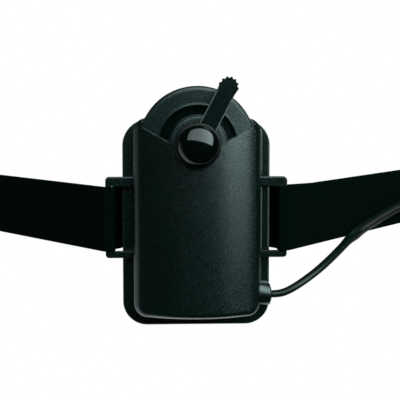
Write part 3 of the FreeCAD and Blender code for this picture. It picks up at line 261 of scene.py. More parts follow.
finishes = {
    # black ABS of the front: a broad sheen, and a painted highlight that turns its sharp edges grey
    "case_plastic": grainedPlastic("grainedAbs", "#000a07", "#00120e", 0.235, ior=1.82,
                                   edgeHighlight=("#6d817c", 0.9)),
    # the same for the rear shell, a little duller, with painted highlights that pale its sharp and rolled
    # edges
    "back_plastic": grainedPlastic("backAbs", "#000f0b", "#001812", 0.26, edgeHighlight=("#4c5d59", 0.7),
                                   rolled=("#4c5d59", 0.4)),
    # glass-filled nylon of the frames: flatter grain, and painted highlights on its sharp and rolled edges
    "frame_plastic": grainedPlastic("frameNylon", "#000d0a", "#00140f", 0.26, depth=0.025,
                                    edgeHighlight=("#4c5d59", 0.6), rolled=("#4c5d59", 0.3)),
    # the flat arm: dark face between two painted highlights along its rounded edges
    "arm_plastic": grainedPlastic("armAbs", "#000b09", "#00110e", 0.24, ior=1.4, rolled=("#7c8f8a", 0.6)),
    # the fan's band and hub keep a coarse grain, and its channel is nearly smooth and black
    "band_grain": grainedPlastic("bandAbs", "#071512", "#0d211f", 0.27, depth=0.05, ior=1.54),
    "smooth_channel": grainedPlastic("smoothAbs", "#000806", "#000d0a", 0.14, 0.5, 0.006, ior=1.5),
    # painted highlight: a smooth pale grey that stands in for the thin line of light on slim rounded edges
    "foot_satin": plainFinish("paintedHighlightAbs", "#2c3a36", "#3f504b", 0.34),
    "slider_plastic": grainedPlastic("sliderNylon", "#050f0d", "#0b1b18", 0.38, 0.35),
    # the cap is a black mirror on a dull ring
    "cap_gloss": polishedPlastic("polishedCap", "#010504", "#030c0a", 0.06),
    "ring_matt": plainFinish("ringAcetal", "#000605", "#000b08", 0.45, ior=1.35),
    # elastic webbing and closure tape: dead black cloth
    "webbing": wovenFinish("elasticWebbing", "#000906", "#01110d", 0.9, 0.8, 0.12),
    "band_fabric": wovenFinish("closureTape", "#030b09", "#0b1a17", 0.7, 0.6, 0.15),
    # leads: soft black PVC outside, red sleeving inside
    "lead_sheath": softSheath("leadPvc", "#010c09", "#041612", 0.34, 1.42),
    "inner_sheath": softSheath("wireSleeve", "#5a0d0a", "#701511", 0.4),
    # plug: rubbery sleeve, dark plated body and gold contacts
    "plug_rubber": softSheath("reliefPvc", "#060f0d", "#0c1a17", 0.42),
    "plug_metal": metalFinish("darkPlatedBrass", "#262827", "#303231", 0.3),
    "plug_gold": metalFinish("goldPlate", "#d3ab55", "#deb863", 0.16),
    # inside the case: bright steel, natural acetal and nylon, green lacquer, dull black epoxy
    "steel": metalFinish("turnedSteel", "#b0b2b0", "#bec0be", 0.28),
    "washer_metal": metalFinish("springSteel", "#9c9e9d", "#abadac", 0.32),
    "capacitor_can": metalFinish("drawnCan", "#acaeb0", "#babcbe", 0.35),
    "bush_plastic": plainFinish("naturalAcetal", "#d8d4c6", "#e2dfd2", 0.4),
    "socket_plastic": plainFinish("naturalNylon", "#d9d2b8", "#e4dec8", 0.45),
    "board_green": plainFinish("solderResist", "#0d4a2b", "#136038", 0.35),
    "chip_black": plainFinish("chipEpoxy", "#141515", "#1d1f1f", 0.6),
}

for entry in frame["record"]["subparts"]:
    node = frame["nodes"][entry["node"]]
    node.data.materials.clear()
    node.data.materials.append(finishes[entry["material_slot"]])
print("materials made:", len(finishes))


# Mesh helpers

def meshArrays(mesh):
    # the points' places, and the point that each face corner uses
    places = np.zeros(len(mesh.vertices) * 3)
    mesh.vertices.foreach_get("co", places)
    corners = np.zeros(len(mesh.loops), dtype=np.int32)
    mesh.loops.foreach_get("vertex_index", corners)
    return places.reshape(-1, 3), corners


def meshFromGrid(name, grid, slotName, closedAcross, closedAlong=False, uv=None, caps=False, last=None):
    # grid is rows along by points across; quads join neighbours, and ends may be closed by a fan, the
    # last one to a point of its own
    rows, cols = grid.shape[:2]
    index = np.arange(rows * cols).reshape(rows, cols)
    nextRow = np.roll(index, -1, 0) if closedAlong else index[1:]
    thisRow = index if closedAlong else index[:-1]
    if closedAcross:
        quads = np.stack([thisRow, np.roll(thisRow, -1, 1), np.roll(nextRow, -1, 1), nextRow], -1)
    else:
        quads = np.stack([thisRow[:, :-1], thisRow[:, 1:], nextRow[:, 1:], nextRow[:, :-1]], -1)
    faces = quads.reshape(-1, 4).tolist()
    points = grid.reshape(-1, 3)
    if caps:
        finalPoint = grid[-1].mean(0) if last is None else last
        for middle, ring in ((grid[0].mean(0), index[0, ::-1]), (finalPoint, index[-1])):
            faces += np.stack([np.full(cols, len(points)), ring, np.roll(ring, -1)], -1).tolist()
            points = np.vstack([points, middle])
    mesh = bpy.data.meshes.new(name)
    mesh.from_pydata(points.tolist(), [], faces)
    mesh.validate()
    mesh.update()
    if uv is not None:
        layer = mesh.uv_layers.new(name="weave")
        corners = meshArrays(mesh)[1]
        flat = uv.reshape(-1, 2)
        flat = np.vstack([flat, flat[:1], flat[:1]])  # the ends' middle points take the first place
        layer.data.foreach_set("uv", flat[corners].ravel())
    mesh.polygons.foreach_set("use_smooth", np.ones(len(mesh.polygons), dtype=bool))
    mesh.materials.append(finishes[slotName])
    obj = newObject(name, mesh)
    return obj


def unit(vectors):
    # each vector over its length
    return vectors / np.linalg.norm(vectors, axis=-1, keepdims=True)


def tangents(line, closed=False):
    # directions from the neighbour before to the neighbour after
    if closed:
        return unit(np.roll(line, -1, 0) - np.roll(line, 1, 0))
    return unit(np.gradient(line, axis=0))


def lengths(line):
    # the way along a line up to each of its points
    return np.concatenate([[0], np.cumsum(np.linalg.norm(np.diff(line, axis=0), axis=1))])


def smoothStep(values, low, high):
    # 0 to 1 by three squares less two cubes
    t = np.clip((values - low) / (high - low), 0, 1)
    return t * t * (3 - 2 * t)


def superEllipse(turn, power):
    # cosine and sine with their sizes raised to a power: squarer than a circle below 1
    across, out = np.cos(turn), np.sin(turn)
    return np.sign(across) * np.abs(across) ** power, np.sign(out) * np.abs(out) ** power


def arcRun(centre, reach, start, end, count):
    # points on an ellipse's arc between two angles in degrees
    turn = np.radians(np.linspace(start, end, count))
    return np.stack([centre[0] + reach[0] * np.cos(turn), centre[1] + reach[1] * np.sin(turn)], -1)


# Front housing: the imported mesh, its face drawn back to a tighter crown

shell = {
    "packedCrown": 151.06, "pivot": 31.0, "lean": 1.9,
    "x": (0, 1.2, 5.2, 9.1, 12.3, 15.1, 17.5, 19.5, 21.0, 22.2, 22.9, 24.5),
    "slope": (0, 0.02, 0.11, 0.235, 0.34, 0.415, 0.455, 0.5, 0.6, 0.72, 1.0, 1.05),
    "from": 13.4, "full": 23.0,  # depths between which the side walls take up the movement
    "lift": 0.45, "bow": 1.0, "bowReach": 20.0, "liftFrom": -14.0, "bottom": -36.9,
    "bossX": 24.8, "bossAxis": (-12.5, -28.1), "bossInner": 3.3, "bossScale": 1.082,
    "strips": (-24.3, 24.31, 0.9),
}

fan = {
    "drop": 5.3, "slope": 0.567,  # the straight ends start this far under the pivot and rise this steeply
    "rim": {"radius": 20.85, "x": 20.95, "top": -20.0, "keep": 0.12, "over": 0.05},
    "ridge": {"radii": (15.05, 15.9), "top": -23.0, "near": 0.16, "foot": -22.5, "keep": 0.2, "over": -0.06},
    "floor": {"radius": 15.7, "top": -22.7, "near": 0.03, "sink": 0.35, "over": -0.06},
    "hub": {"radius": 11.0, "near": 0.06, "top": -21.0, "step": 0.6, "over": -0.4},
}


def drawnBack(points):
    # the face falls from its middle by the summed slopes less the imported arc, and leans about the pivot; its
    # bottom edge lifts, most in the middle; all is let in over a depth of the side walls; the boss swells
    x, y, z = points[:, 0], points[:, 1], points[:, 2]
    fine = np.linspace(0, shell["x"][-1], 246)  # a point for each tenth of a millimetre
    slope = np.interp(fine, shell["x"], shell["slope"])
    fall = np.concatenate([[0], np.cumsum((slope[1:] + slope[:-1]) / 2 * np.diff(fine))])
    fall -= shell["packedCrown"] - np.sqrt(shell["packedCrown"] ** 2 - fine ** 2)
    share = np.clip((-y - shell["from"]) / (shell["full"] - shell["from"]), 0, 1) * (x < shell["bossX"] - 0.1)
    back = np.interp(np.abs(x), fine, fall) + (z - shell["pivot"]) * math.tan(math.radians(shell["lean"]))
    low = np.clip((shell["liftFrom"] - z) / (shell["liftFrom"] - shell["bottom"]), 0, 1)
    lift = (shell["lift"] + shell["bow"] * (1 - np.clip(x / shell["bowReach"], -1, 1) ** 2)) * low
    boss = np.stack([y - shell["bossAxis"][0], z - shell["bossAxis"][1]], -1)
    swell = (x > shell["bossX"]) & (np.hypot(boss[:, 0], boss[:, 1]) > shell["bossInner"])
    grow = np.where(swell, shell["bossScale"] - 1, 0)
    return np.stack([x, y + back * share + boss[:, 0] * grow, z + lift * share + boss[:, 1] * grow], -1)


def fanCleared(points):
    # room for the drawn terrace: the rim outside the fan and the ridge are pressed flat, the floor sinks, and
    # the hub's wall steps in, each only where it lies over the fan's straight ends
    x, y, z = points[:, 0], points[:, 1], points[:, 2] - shell["pivot"]
    radius = np.hypot(x, z)
    over = z + fan["drop"] - fan["slope"] * np.abs(x)
    rim, ridge, floor, hub = fan["rim"], fan["ridge"], fan["floor"], fan["hub"]
    onRim = (radius > rim["radius"]) & (over > rim["over"]) & (np.abs(x) < rim["x"]) & (y < rim["top"])
    onRidge = (radius > ridge["radii"][0]) & (radius < ridge["radii"][1]) & (over > ridge["over"])
    onRidge &= np.abs(y - ridge["top"]) < ridge["near"]
    onFloor = (np.abs(y - floor["top"]) < floor["near"]) & (radius > floor["radius"]) & (over > floor["over"])
    onHub = (np.abs(radius - hub["radius"]) < hub["near"]) & (y < hub["top"]) & (over > hub["over"])
    deep = np.select([onRim, onRidge, onFloor], [
        rim["top"] + (y - rim["top"]) * rim["keep"], ridge["foot"] + (y - ridge["foot"]) * ridge["keep"],
        y + floor["sink"]], y)
    near = np.where(onHub, (radius - hub["step"]) / np.maximum(radius, 1e-6), 1.0)
    return np.stack([x * near, deep, z * near + shell["pivot"]], -1)


def shaped(points):
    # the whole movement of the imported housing
    return drawnBack(fanCleared(points))


def cutStrips(mesh):
    # the front is merged, cut by upright planes a strip apart and made triangles again, each of which keeps
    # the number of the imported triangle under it
    work = bmesh.new()
    work.from_mesh(mesh)
    origin = work.faces.layers.int.new("origin")
    for number, face in enumerate(work.faces):
        face[origin] = number
    bmesh.ops.remove_doubles(work, verts=work.verts[:], dist=1e-7)
    for x in np.arange(*shell["strips"]) * mm:
        near = [face for face in work.faces if min(v.co.y for v in face.verts) < -shell["from"] * mm
                and min(v.co.x for v in face.verts) < x < max(v.co.x for v in face.verts)]
        edges = {edge for face in near for edge in face.edges}
        points = {vert for face in near for vert in face.verts}
        bmesh.ops.bisect_plane(work, geom=near + list(edges) + list(points), dist=1e-8,
                               plane_co=(x, 0, 0), plane_no=(1, 0, 0))
    bmesh.ops.triangulate(work, faces=work.faces[:])
    work.to_mesh(mesh)
    work.free()


def blendedNormals(triangles, normals, places):
    # each triangle's corner normals, blended by the shares of its area that a place on it cuts off
    first, second, third = triangles[:, 0], triangles[:, 1], triangles[:, 2]
    area = np.cross(second - first, third - first)
    size = np.maximum((area ** 2).sum(1), 1e-30)
    ofSecond = (np.cross(places - first, third - first) * area).sum(1) / size
    ofThird = (np.cross(second - first, places - first) * area).sum(1) / size
    shares = np.clip(np.stack([1 - ofSecond - ofThird, ofSecond, ofThird], -1), 0, 1)
    return unit((normals * shares[..., None]).sum(1))


def crownedHousing():
    # a copy cut into narrow upright strips, whose points move by shaped; the corner normals, read from the
    # packed triangle under each corner, turn by the inverse transpose of the movement's local matrix
    mesh = frame["nodes"]["front_housing"].data.copy()
    mesh.name = "crownedHousing"
    normals = np.zeros(len(mesh.loops) * 3)
    mesh.corner_normals.foreach_get("vector", normals)
    normals = normals.reshape(-1, 3, 3)
    places, corners = meshArrays(mesh)
    packed = places[corners].reshape(-1, 3, 3)
    cutStrips(mesh)
    places, corners = meshArrays(mesh)
    under = np.zeros(len(mesh.polygons), dtype=np.int32)
    mesh.attributes["origin"].data.foreach_get("value", under)
    under = np.repeat(under, 3)
    spots = places[corners]
    normals = blendedNormals(packed[under], normals[under], spots)
    reach = 0.01
    local = np.stack([(shaped(spots / mm + step) - shaped(spots / mm - step)) / (2 * reach)
                      for step in np.eye(3) * reach], -1)
    turned = np.einsum("nji,nj->ni", np.linalg.inv(local), normals)
    mesh.vertices.foreach_set("co", (shaped(places / mm) * mm).ravel())
    mesh.polygons.foreach_set("use_smooth", np.ones(len(mesh.polygons), dtype=bool))
    mesh.update()
    mesh.normals_split_custom_set(unit(turned).tolist())
    mesh.attributes.remove(mesh.attributes["origin"])
    obj = newObject("crownedHousing", mesh)
    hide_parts("front_housing")
    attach(obj, "unit")
    print("housing triangles:", len(mesh.polygons))


crownedHousing()


# Fan terrace: rounded hub edge, smooth channel, bead, grained band that rolls off to the head's wall
# all are radii about the pivot and depths in front of the wearer's side

terrace = {
    "hub": {"from": 9.0, "bend": 10.2, "top": 24.62, "soft": 0.9},
    "channel": {"from": 11.1, "to": 14.95, "top": 21.43, "fillet": 0.35, "wall": 1.2},
    "bead": {"middle": 15.42, "top": 22.6, "rise": 0.47, "stop": 17},
    "band": {"from": 15.95, "top": 22.72, "slope": -0.033},
    "roll": {"from": 20.75, "fromAtEnds": 21.7, "nearEnd": 0.72, "to": 22.43, "start": 84,
             "wall": (22.44, 17.6)},
    "turns": 220,
}


def terraceProfiles():
    # radius and depth across the terrace: the hub's top and rounded edge, the channel with filleted corners,
    # the half-round bead, and the band with the roll, whose start moves outwards near the fan's ends
    hub, channel, bead, band, roll = (terrace[part] for part in ("hub", "channel", "bead", "band", "roll"))
    hubRun = np.vstack([[[hub["from"], hub["top"]]],
                        arcRun((hub["bend"], hub["top"] - hub["soft"]),
                               (channel["from"] - hub["bend"], hub["soft"]), 90, 0, 12)])
    fillet, foot = channel["fillet"], channel["top"] + channel["fillet"]
    trough = np.vstack([[[channel["from"], channel["top"] + channel["wall"]]],
                        arcRun((channel["from"] + fillet, foot), (fillet, fillet), 180, 270, 7),
                        arcRun((channel["to"] - fillet, foot), (fillet, fillet), 270, 360, 7)])
    ridge = arcRun((bead["middle"], bead["top"]), (bead["middle"] - channel["to"], bead["rise"]), 180,
                   bead["stop"], 17)
    side = np.linspace(-1, 1, terrace["turns"] + 1)
    nearEnd = smoothStep(np.abs(side), roll["nearEnd"], 1.0)[:, None]
    rollFrom = roll["from"] + (roll["fromAtEnds"] - roll["from"]) * nearEnd
    floorRadius = band["from"] + (rollFrom - band["from"]) * np.linspace(0, 1, 10)
    floorDepth = band["top"] - band["slope"] * (floorRadius - band["from"])
    turn = np.radians(np.linspace(roll["start"], 0, 16))
    wide = roll["to"] - rollFrom
    rolled = np.stack([rollFrom + wide * np.cos(turn), floorDepth[:, -1:] - wide * (1 - np.sin(turn))], -1)
    wall = np.broadcast_to(np.array(roll["wall"]), (len(side), 1, 2))

    def spread(profile):
        return np.broadcast_to(profile, (len(side),) + profile.shape)

    channelRun = np.vstack([hubRun[-1:], trough, ridge[:1]])
    bandRun = np.concatenate([spread(ridge), np.stack([floorRadius, floorDepth], -1), rolled, wall], 1)
    return side, spread(hubRun), spread(channelRun), bandRun


def fanTerrace():
    # profiles swept about the pivot between the fan's two straight ends: at each radius the ends lie where
    # the circle meets the slanting line; then drawn back with the face
    side, hubRun, channelRun, bandRun = terraceProfiles()
    slope, drop = fan["slope"], fan["drop"]
    for name, slotName, profile in (("fanHub", "band_grain", hubRun),
                                    ("fanChannel", "smooth_channel", channelRun),
                                    ("fanBand", "band_grain", bandRun)):
        radius, depth = profile[..., 0], profile[..., 1]
        endX = (slope * drop + np.sqrt((1 + slope ** 2) * radius ** 2 - drop ** 2)) / (1 + slope ** 2)
        angle = side[:, None] * np.arctan2(endX, slope * endX - drop)
        points = np.stack([radius * np.sin(angle), -depth, shell["pivot"] + radius * np.cos(angle)], -1)
        points = drawnBack(points.reshape(-1, 3)).reshape(points.shape)
        obj = meshFromGrid(name, points * mm, slotName, False)
        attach(obj, "unit")


fanTerrace()
print("fan made")


# Blunt web over the boss that closes the flange's notch

web = {
    "x": (23.6, 28.9), "centre": (-8.6, -25.6), "half": (2.0, 2.5), "power": 0.4, "endPower": 8,
    "plain": 0.7, "turns": 64,
}


def bossWeb():
    # a superellipse section carried along the width, whose size falls to nothing at the end by a power law
    plain, closing = web["plain"], np.cos(np.linspace(0.2, math.pi / 2, 14))
    along = np.concatenate([np.linspace(0, plain, 6), 1 - (1 - plain) * closing])
    size = np.clip(1 - along ** web["endPower"], 0, 1)[:, None] ** 0.25
    y, z = superEllipse(np.linspace(0, 2 * math.pi, web["turns"], endpoint=False), web["power"])
    x = web["x"][0] + (web["x"][1] - web["x"][0]) * along
    grid = np.stack([x[:, None] + 0 * y, web["centre"][0] + size * y * web["half"][0],
                     web["centre"][1] + size * z * web["half"][1]], -1)
    obj = meshFromGrid("bossWeb", grid * mm, "back_plastic", True, caps=True)
    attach(obj, "unit")


bossWeb()
print("web made")


# Lit edges right of the housing: slim beads up the flange and, between its bars, up the frame, whose pale
# colour paints the line of light along those edges

beads = {
    "rise": 0.36, "power": 0.7, "endPower": 12, "turns": 20, "rows": 120,
    # x, half width, depth, and lowest and highest z
    "runs": ((25.2, 0.76, 9.6, 18.5, 36.8), (28.3, 0.36, 9.62, 18.5, 31.0), (25.24, 0.4, 12.6, -10.4, 14.4),
             (28.02, 0.34, 12.62, -10.4, 14.4), (25.0, 0.62, 9.6, -24.0, -13.8),
             (28.42, 0.3, 9.62, -23.0, -13.8)),
}


def edgeBeads():
    # a superellipse section carried up along Z, whose size falls to nothing at both ends by a power law
    across, out = superEllipse(np.linspace(0, 2 * math.pi, beads["turns"], endpoint=False), beads["power"])
    step = np.linspace(-1, 1, beads["rows"])[:, None]
    size = np.sqrt(np.clip(1 - np.abs(step) ** beads["endPower"], 0, 1))
    for number, (x, half, depth, low, high) in enumerate(beads["runs"]):
        z = (low + high) / 2 + (high - low) / 2 * step
        grid = np.stack([x + size * across * half, size * out * beads["rise"] - depth, z + 0 * across], -1)
        # each bead's pale satin is a painted highlight
        obj = meshFromGrid("edgeBead%d" % (number + 1), grid * mm, "foot_satin", True, caps=True)
        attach(obj, "unit")


edgeBeads()
print("edge beads made:", len(beads["runs"]))


# Glossy cap over the pivot

cap = {
    "radius": 8.02, "skirt": 0.9, "rise": 5.3, "sunk": 0.3, "rings": 48, "turns": 128,
    "ring": ((7.7, 0), (8.3, 0), (8.48, 0.1), (8.52, 0.25), (8.52, 0.42), (8.46, 0.56), (8.3, 0.63),
             (8.14, 0.66), (8.03, 0.74), (7.8, 0.74), (7.7, 0.5)),
}


def domeCap():
    # profiles turned about the pivot: a thin matt base ring, then a short skirt and a quarter ellipse
    low, high = [np.array(v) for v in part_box("dome_cap")]
    centre = (low + high) / 2
    back = high[1]
    turn = np.linspace(0, 2 * math.pi, cap["turns"], endpoint=False)

    def turned(radius, depth):
        radius, depth = radius[:, None] * mm, depth[:, None] * mm
        return np.stack([centre[0] + radius * np.cos(turn), back - depth + 0 * turn,
                         centre[2] + radius * np.sin(turn)], -1)

    ring = np.array(cap["ring"])
    base = meshFromGrid("capRing", turned(ring[:, 0], ring[:, 1]), "ring_matt", True, True)
    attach(base, "arm")
    climb = np.linspace(0, math.pi / 2, cap["rings"] + 1)[:-1]
    grid = turned(np.append(cap["radius"], cap["radius"] * np.cos(climb)),
                  np.append(cap["sunk"], cap["skirt"] + cap["rise"] * np.sin(climb)))
    crown = [centre[0], back - (cap["skirt"] + cap["rise"]) * mm, centre[2]]
    obj = meshFromGrid("glossCap", grid, "cap_gloss", True, caps=True, last=crown)
    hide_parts("dome_cap")
    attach(obj, "arm")


domeCap()
print("cap made")


# Elastic belt: its plan line goes through both frames and round the back

belt = {
    "thick": 1.3, "width": 25.4, "height": 1.9, "angle": 55.0, "straight": 112.0,
    "rearX": 28.4, "slotX": 32.25, "slotY": 7.0, "overY": 13.4,  # corners of its way through the frame
    "outerX": 35.5, "frameFront": 12.6, "turn": 0.15, "radii": (2.6, 3.0, 1.0, 1.2),
    "level": 130.0, "bend": 420.0, "fall": 24.0,  # level so far back, then bent down into a slope
    "step": 0.8, "roundStep": 1.2, "points": 22, "slack": 0.06,  # the slack takes it clear of its neighbours
    "tail": (84.3, 121.8), "tailGap": 0.05, "tailNarrower": 0.2, "tailThinner": 0.1, "tailRows": 110,
}


def beltStart():
    # the middle of the belt's thickness where it leaves the frame's outer corner, square to its angle
    away, turn = belt["thick"] / 2 + belt["turn"], math.radians(belt["angle"])
    return np.array([belt["outerX"] + away * math.sin(turn), -belt["frameFront"] - away * math.cos(turn)])


def beltCentre():
    # the back's circle: it carries on the straight part's angle and has its middle on the plane of symmetry
    turn = math.radians(belt["angle"])
    end = beltStart() + np.array([math.cos(turn), math.sin(turn)]) * belt["straight"]
    radius = end[0] / math.sin(turn)
    return end[1] + radius * math.cos(turn), radius


def straightRun(start, end, step):
    # points after the start, evenly up to the end
    count = max(2, int(np.linalg.norm(end - start) / step))
    return start + (end - start) * np.arange(1, count + 1)[:, None] / count


def roundedRuns(corners, radii, step):
    # straight runs joined by tangent arcs, each arc by the sine-weighted turn of its first radius to its last
    runs, last = [corners[0][None]], corners[0]
    for here, after, radius in zip(corners[1:-1], corners[2:], radii):
        back, ahead = unit(last - here), unit(after - here)
        half = math.acos(np.clip(back @ ahead, -1, 1)) / 2
        start, end = here + back * radius / math.tan(half), here + ahead * radius / math.tan(half)
        centre = here + unit(back + ahead) * radius / math.sin(half)
        sweep = math.pi - 2 * half
        count = max(6, int(radius * sweep / step))
        t = np.arange(1, count + 1)[:, None] / count
        arc = np.sin((1 - t) * sweep) * (start - centre) + np.sin(t * sweep) * (end - centre)
        runs += [straightRun(last, start, step), centre + arc / math.sin(sweep)]
        last = end
    return np.vstack(runs + [straightRun(last, corners[-1], step)])


def beltLine():
    # plan of the right half: flat behind the case, out through the slot, over the bar, away, then round on
    # the circle; the left half is its mirror
    half, turn = belt["thick"] / 2, math.radians(belt["angle"])
    start = beltStart()
    bendX = start[0] + (-belt["overY"] - start[1]) / math.tan(turn)
    end = start + np.array([math.cos(turn), math.sin(turn)]) * belt["straight"]
    corners = [np.array(place) for place in (
        (0, -half), (belt["rearX"], -half), (belt["slotX"], -belt["slotY"]), (belt["slotX"], -belt["overY"]),
        (bendX, -belt["overY"]), end)]
    centreY, radius = beltCentre()
    first = math.atan2(end[1] - centreY, end[0])
    count = int(radius * (math.pi / 2 - first) / belt["roundStep"])
    angle = first + (math.pi / 2 - first) * np.arange(1, count + 1) / count
    rear = np.stack([radius * np.cos(angle), centreY + radius * np.sin(angle)], -1)
    right = np.vstack([roundedRuns(corners, belt["radii"], belt["step"]), rear])
    return np.vstack([right, right[1:-1][::-1] * np.array([-1, 1])])


def beltDrop(rearward):
    # how far the belt has fallen: level in front, then an arc of a circle into a steady slope to the back
    centreY, radius = beltCentre()
    slope = math.atan(belt["fall"] / (centreY + radius - belt["level"]))
    bendStart = belt["level"] - belt["bend"] * math.tan(slope / 2)
    bendEnd = bendStart + belt["bend"] * math.sin(slope)
    bent = np.maximum(rearward - bendStart, 0)
    curved = belt["bend"] - np.sqrt(np.maximum(belt["bend"] ** 2 - bent ** 2, 0))
    straight = belt["bend"] * (1 - math.cos(slope)) + (rearward - bendEnd) * math.tan(slope)
    return np.where(rearward < bendEnd, curved, straight)


def bandSection(width, thick, across):
    # a flat rounded section: points out along one face and back along the other, edges rolled over
    half = thick / 2
    face = np.linspace(-width / 2 + half, width / 2 - half, across)
    roll = np.linspace(-math.pi / 2, math.pi / 2, 7)[1:-1]
    top = np.full(across, half)
    endX, endY = width / 2 - half + half * np.cos(roll[::-1]), half * np.sin(roll[::-1])
    return np.concatenate([face, endX, -face, -endX]), np.concatenate([top, endY, -top, -endY])


def wovenBand(name, plan, closed, width, thick):
    # the section carried along a plan line: its width stays upright, its thickness turns with the plan
    heights = belt["height"] - beltDrop(plan[:, 1])
    ahead = tangents(plan, closed)
    outward = np.stack([ahead[:, 1], -ahead[:, 0]], -1)
    x, y = bandSection(width, thick, belt["points"])
    flat = plan[:, None, :] + outward[:, None, :] * y[None, :, None]
    grid = np.concatenate([flat, (heights[:, None] + x)[..., None]], -1)
    uv = np.stack(np.broadcast_arrays(lengths(plan)[:, None], x[None, :]), -1)
    return meshFromGrid(name, grid[:, ::-1] * mm, "webbing", True, closed, uv[:, ::-1] * mm, caps=not closed)


def elasticBelt():
    # one closed loop of webbing
    obj = wovenBand("wovenBelt", beltLine(), True, belt["width"], belt["thick"] - belt["slack"])
    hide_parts("elastic_belt")
    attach(obj, "unit")


def beltTail():
    # the free end lies outside the loop, on a circle one thickness larger between two angles in degrees
    centreY, radius = beltCentre()
    radius += belt["thick"] + belt["tailGap"]
    plan = arcRun((0, centreY), (radius, radius), *belt["tail"], belt["tailRows"])
    obj = wovenBand("beltFreeEnd", plan, False, belt["width"] - belt["tailNarrower"],
                   belt["thick"] - belt["tailThinner"])
    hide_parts("belt_tail")
    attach(obj, "unit")


elasticBelt()
beltTail()
print("belt made")


def beltPlace(along):
    # a point on the belt's right part, with its directions along and outwards
    turn = math.radians(belt["angle"])
    if along <= belt["straight"]:
        ahead = np.array([math.cos(turn), math.sin(turn), 0])
        point = np.append(beltStart(), 0) + ahead * along
    else:
        centreY, radius = beltCentre()
        more = (along - belt["straight"]) / radius
        ahead = np.array([math.cos(turn + more), math.sin(turn + more), 0])
        point = np.array([radius * ahead[1], centreY - radius * ahead[0], 0])
    return point, ahead, np.array([ahead[1], -ahead[0], 0])


# Closed bands that hold the lead and its coil on the belt

bands = {
    "thick": 1.1, "round": 1.6, "room": 13.0, "inside": 0.95, "step": 0.7, "points": 10,
    "keeper": (122.5, 5.8, 5.3), "tie": (158.0, 8.8, 10.7),  # place along the belt, width, room in front
}


def holdingBand(name, node, along, wide, depth):
    # a rounded box line round the belt, with the tape's flat section carried along it
    point, ahead, outward = beltPlace(along)
    drop = float(beltDrop(np.array([point[1]]))[0])
    slope = math.atan(float(beltDrop(np.array([point[1] + 1]))[0]) - drop)
    point = point + np.array([0, 0, belt["height"] - drop])
    ahead = ahead * math.cos(slope) - np.array([0, 0, math.sin(slope)])
    up = np.cross(outward, ahead)
    mid, tall = bands["thick"] / 2, bands["room"] + bands["thick"] / 2
    near, far = -bands["inside"] - mid, depth + mid
    corners = [np.array(place) for place in (
        (0, tall), (far, tall), (far, -tall), (near, -tall), (near, tall), (0, tall))]
    line = roundedRuns(corners, [bands["round"]] * 4, bands["step"])[:-1]
    direction = tangents(line, True)
    normal = np.stack([direction[:, 1], -direction[:, 0]], -1)
    x, y = bandSection(wide, bands["thick"] - belt["slack"], bands["points"])
    flat = line[:, None, :] + normal[:, None, :] * y[None, :, None]
    grid = (point + flat[..., 0:1] * outward + flat[..., 1:2] * up + x[None, :, None] * ahead)
    uv = np.stack(np.broadcast_arrays(lengths(line)[:, None], x[None, :]), -1)
    obj = meshFromGrid(name, grid * mm, "band_fabric", True, True, uv * mm)
    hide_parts(node)
    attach(obj, "unit")


holdingBand("leadKeeper", "cable_keeper", *bands["keeper"])
holdingBand("coilTie", "coil_tie", *bands["tie"])
print("bands made")


# Twin lead: from the boss, over to the belt, under the keeper and round in its coil

lead = {
    "wire": 2.55, "apart": 2.3, "lobe": 125, "diameter": 4.8,  # each wire shows so many degrees either way
    "coilAlong": 158.0, "coilOff": 3.4, "coilTop": 1.4, "coilRadius": 30.0, "pitch": 3.9, "layer": 5.2,
    "halfTurns": 10, "pointsPerHalf": 8, "leadIn": (18.0, 4.0), "leadOut": (1.5, 6.0),
    "lay": (46.0, 78.0), "stand": (128.0, 156.0),  # lengths over which it turns to the belt, then on edge
    "exit": (29.25, -12.5, -28.1),
    "free": ((31.85, -12.5, -28.1), (35.1, -12.4, -27.35), (38.9, -11.7, -25.5), (43.6, -9.5, -22.9),
             (50.0, -4.3, -19.4), (58.0, 6.0, -14.9)),
    # along the belt, off it and up from its middle
    "byBelt": ((48.0, 6.0, -9.0), (66.0, 4.2, -6.9), (90.0, 3.2, -3.6), (117.0, 3.2, -0.6)),
}


def leadRoute():
    # the same corners as the solid tube's, then a loop for the coil's half turns: each is half a
    # circle between two ends, which step in by half a pitch and then, one layer up, out again
    points = [np.array(lead["exit"])] + [np.array(place) for place in lead["free"]]
    for along, off, height in lead["byBelt"]:
        point, ahead, outward = beltPlace(along)
        points.append(point + outward * off + np.array([0, 0, height]))
    point, ahead, outward = beltPlace(lead["coilAlong"])
    up = np.array([0, 0, 1.0])
    top = point + outward * lead["coilOff"] + up * lead["coilTop"]
    points += [top - ahead * before for before in lead["leadIn"]]
    centre = top - up * lead["coilRadius"]
    ends = []
    half = lead["halfTurns"] // 2
    for step in range(lead["halfTurns"] + 1):
        inward = min(step, lead["halfTurns"] + 1 - step) + (step == half)
        radius = lead["coilRadius"] - inward * lead["pitch"] / 2
        side = 1 if step % 2 == 0 else -1
        ends.append(centre + up * radius * side + outward * lead["layer"] * (step > half))
    turn = (math.pi * (np.arange(lead["pointsPerHalf"]) + 0.5) / lead["pointsPerHalf"])[:, None]
    for step, (start, end) in enumerate(zip(ends, ends[1:])):
        side = 1 if step % 2 == 0 else -1
        middle, reach = (start + end) / 2, np.linalg.norm(end - start) / 2
        points += list(middle + (start - middle) * np.cos(turn) + ahead * reach * np.sin(turn) * side)
    points += [ends[-1] + ahead * beyond for beyond in lead["leadOut"]]
    return np.array(points), outward


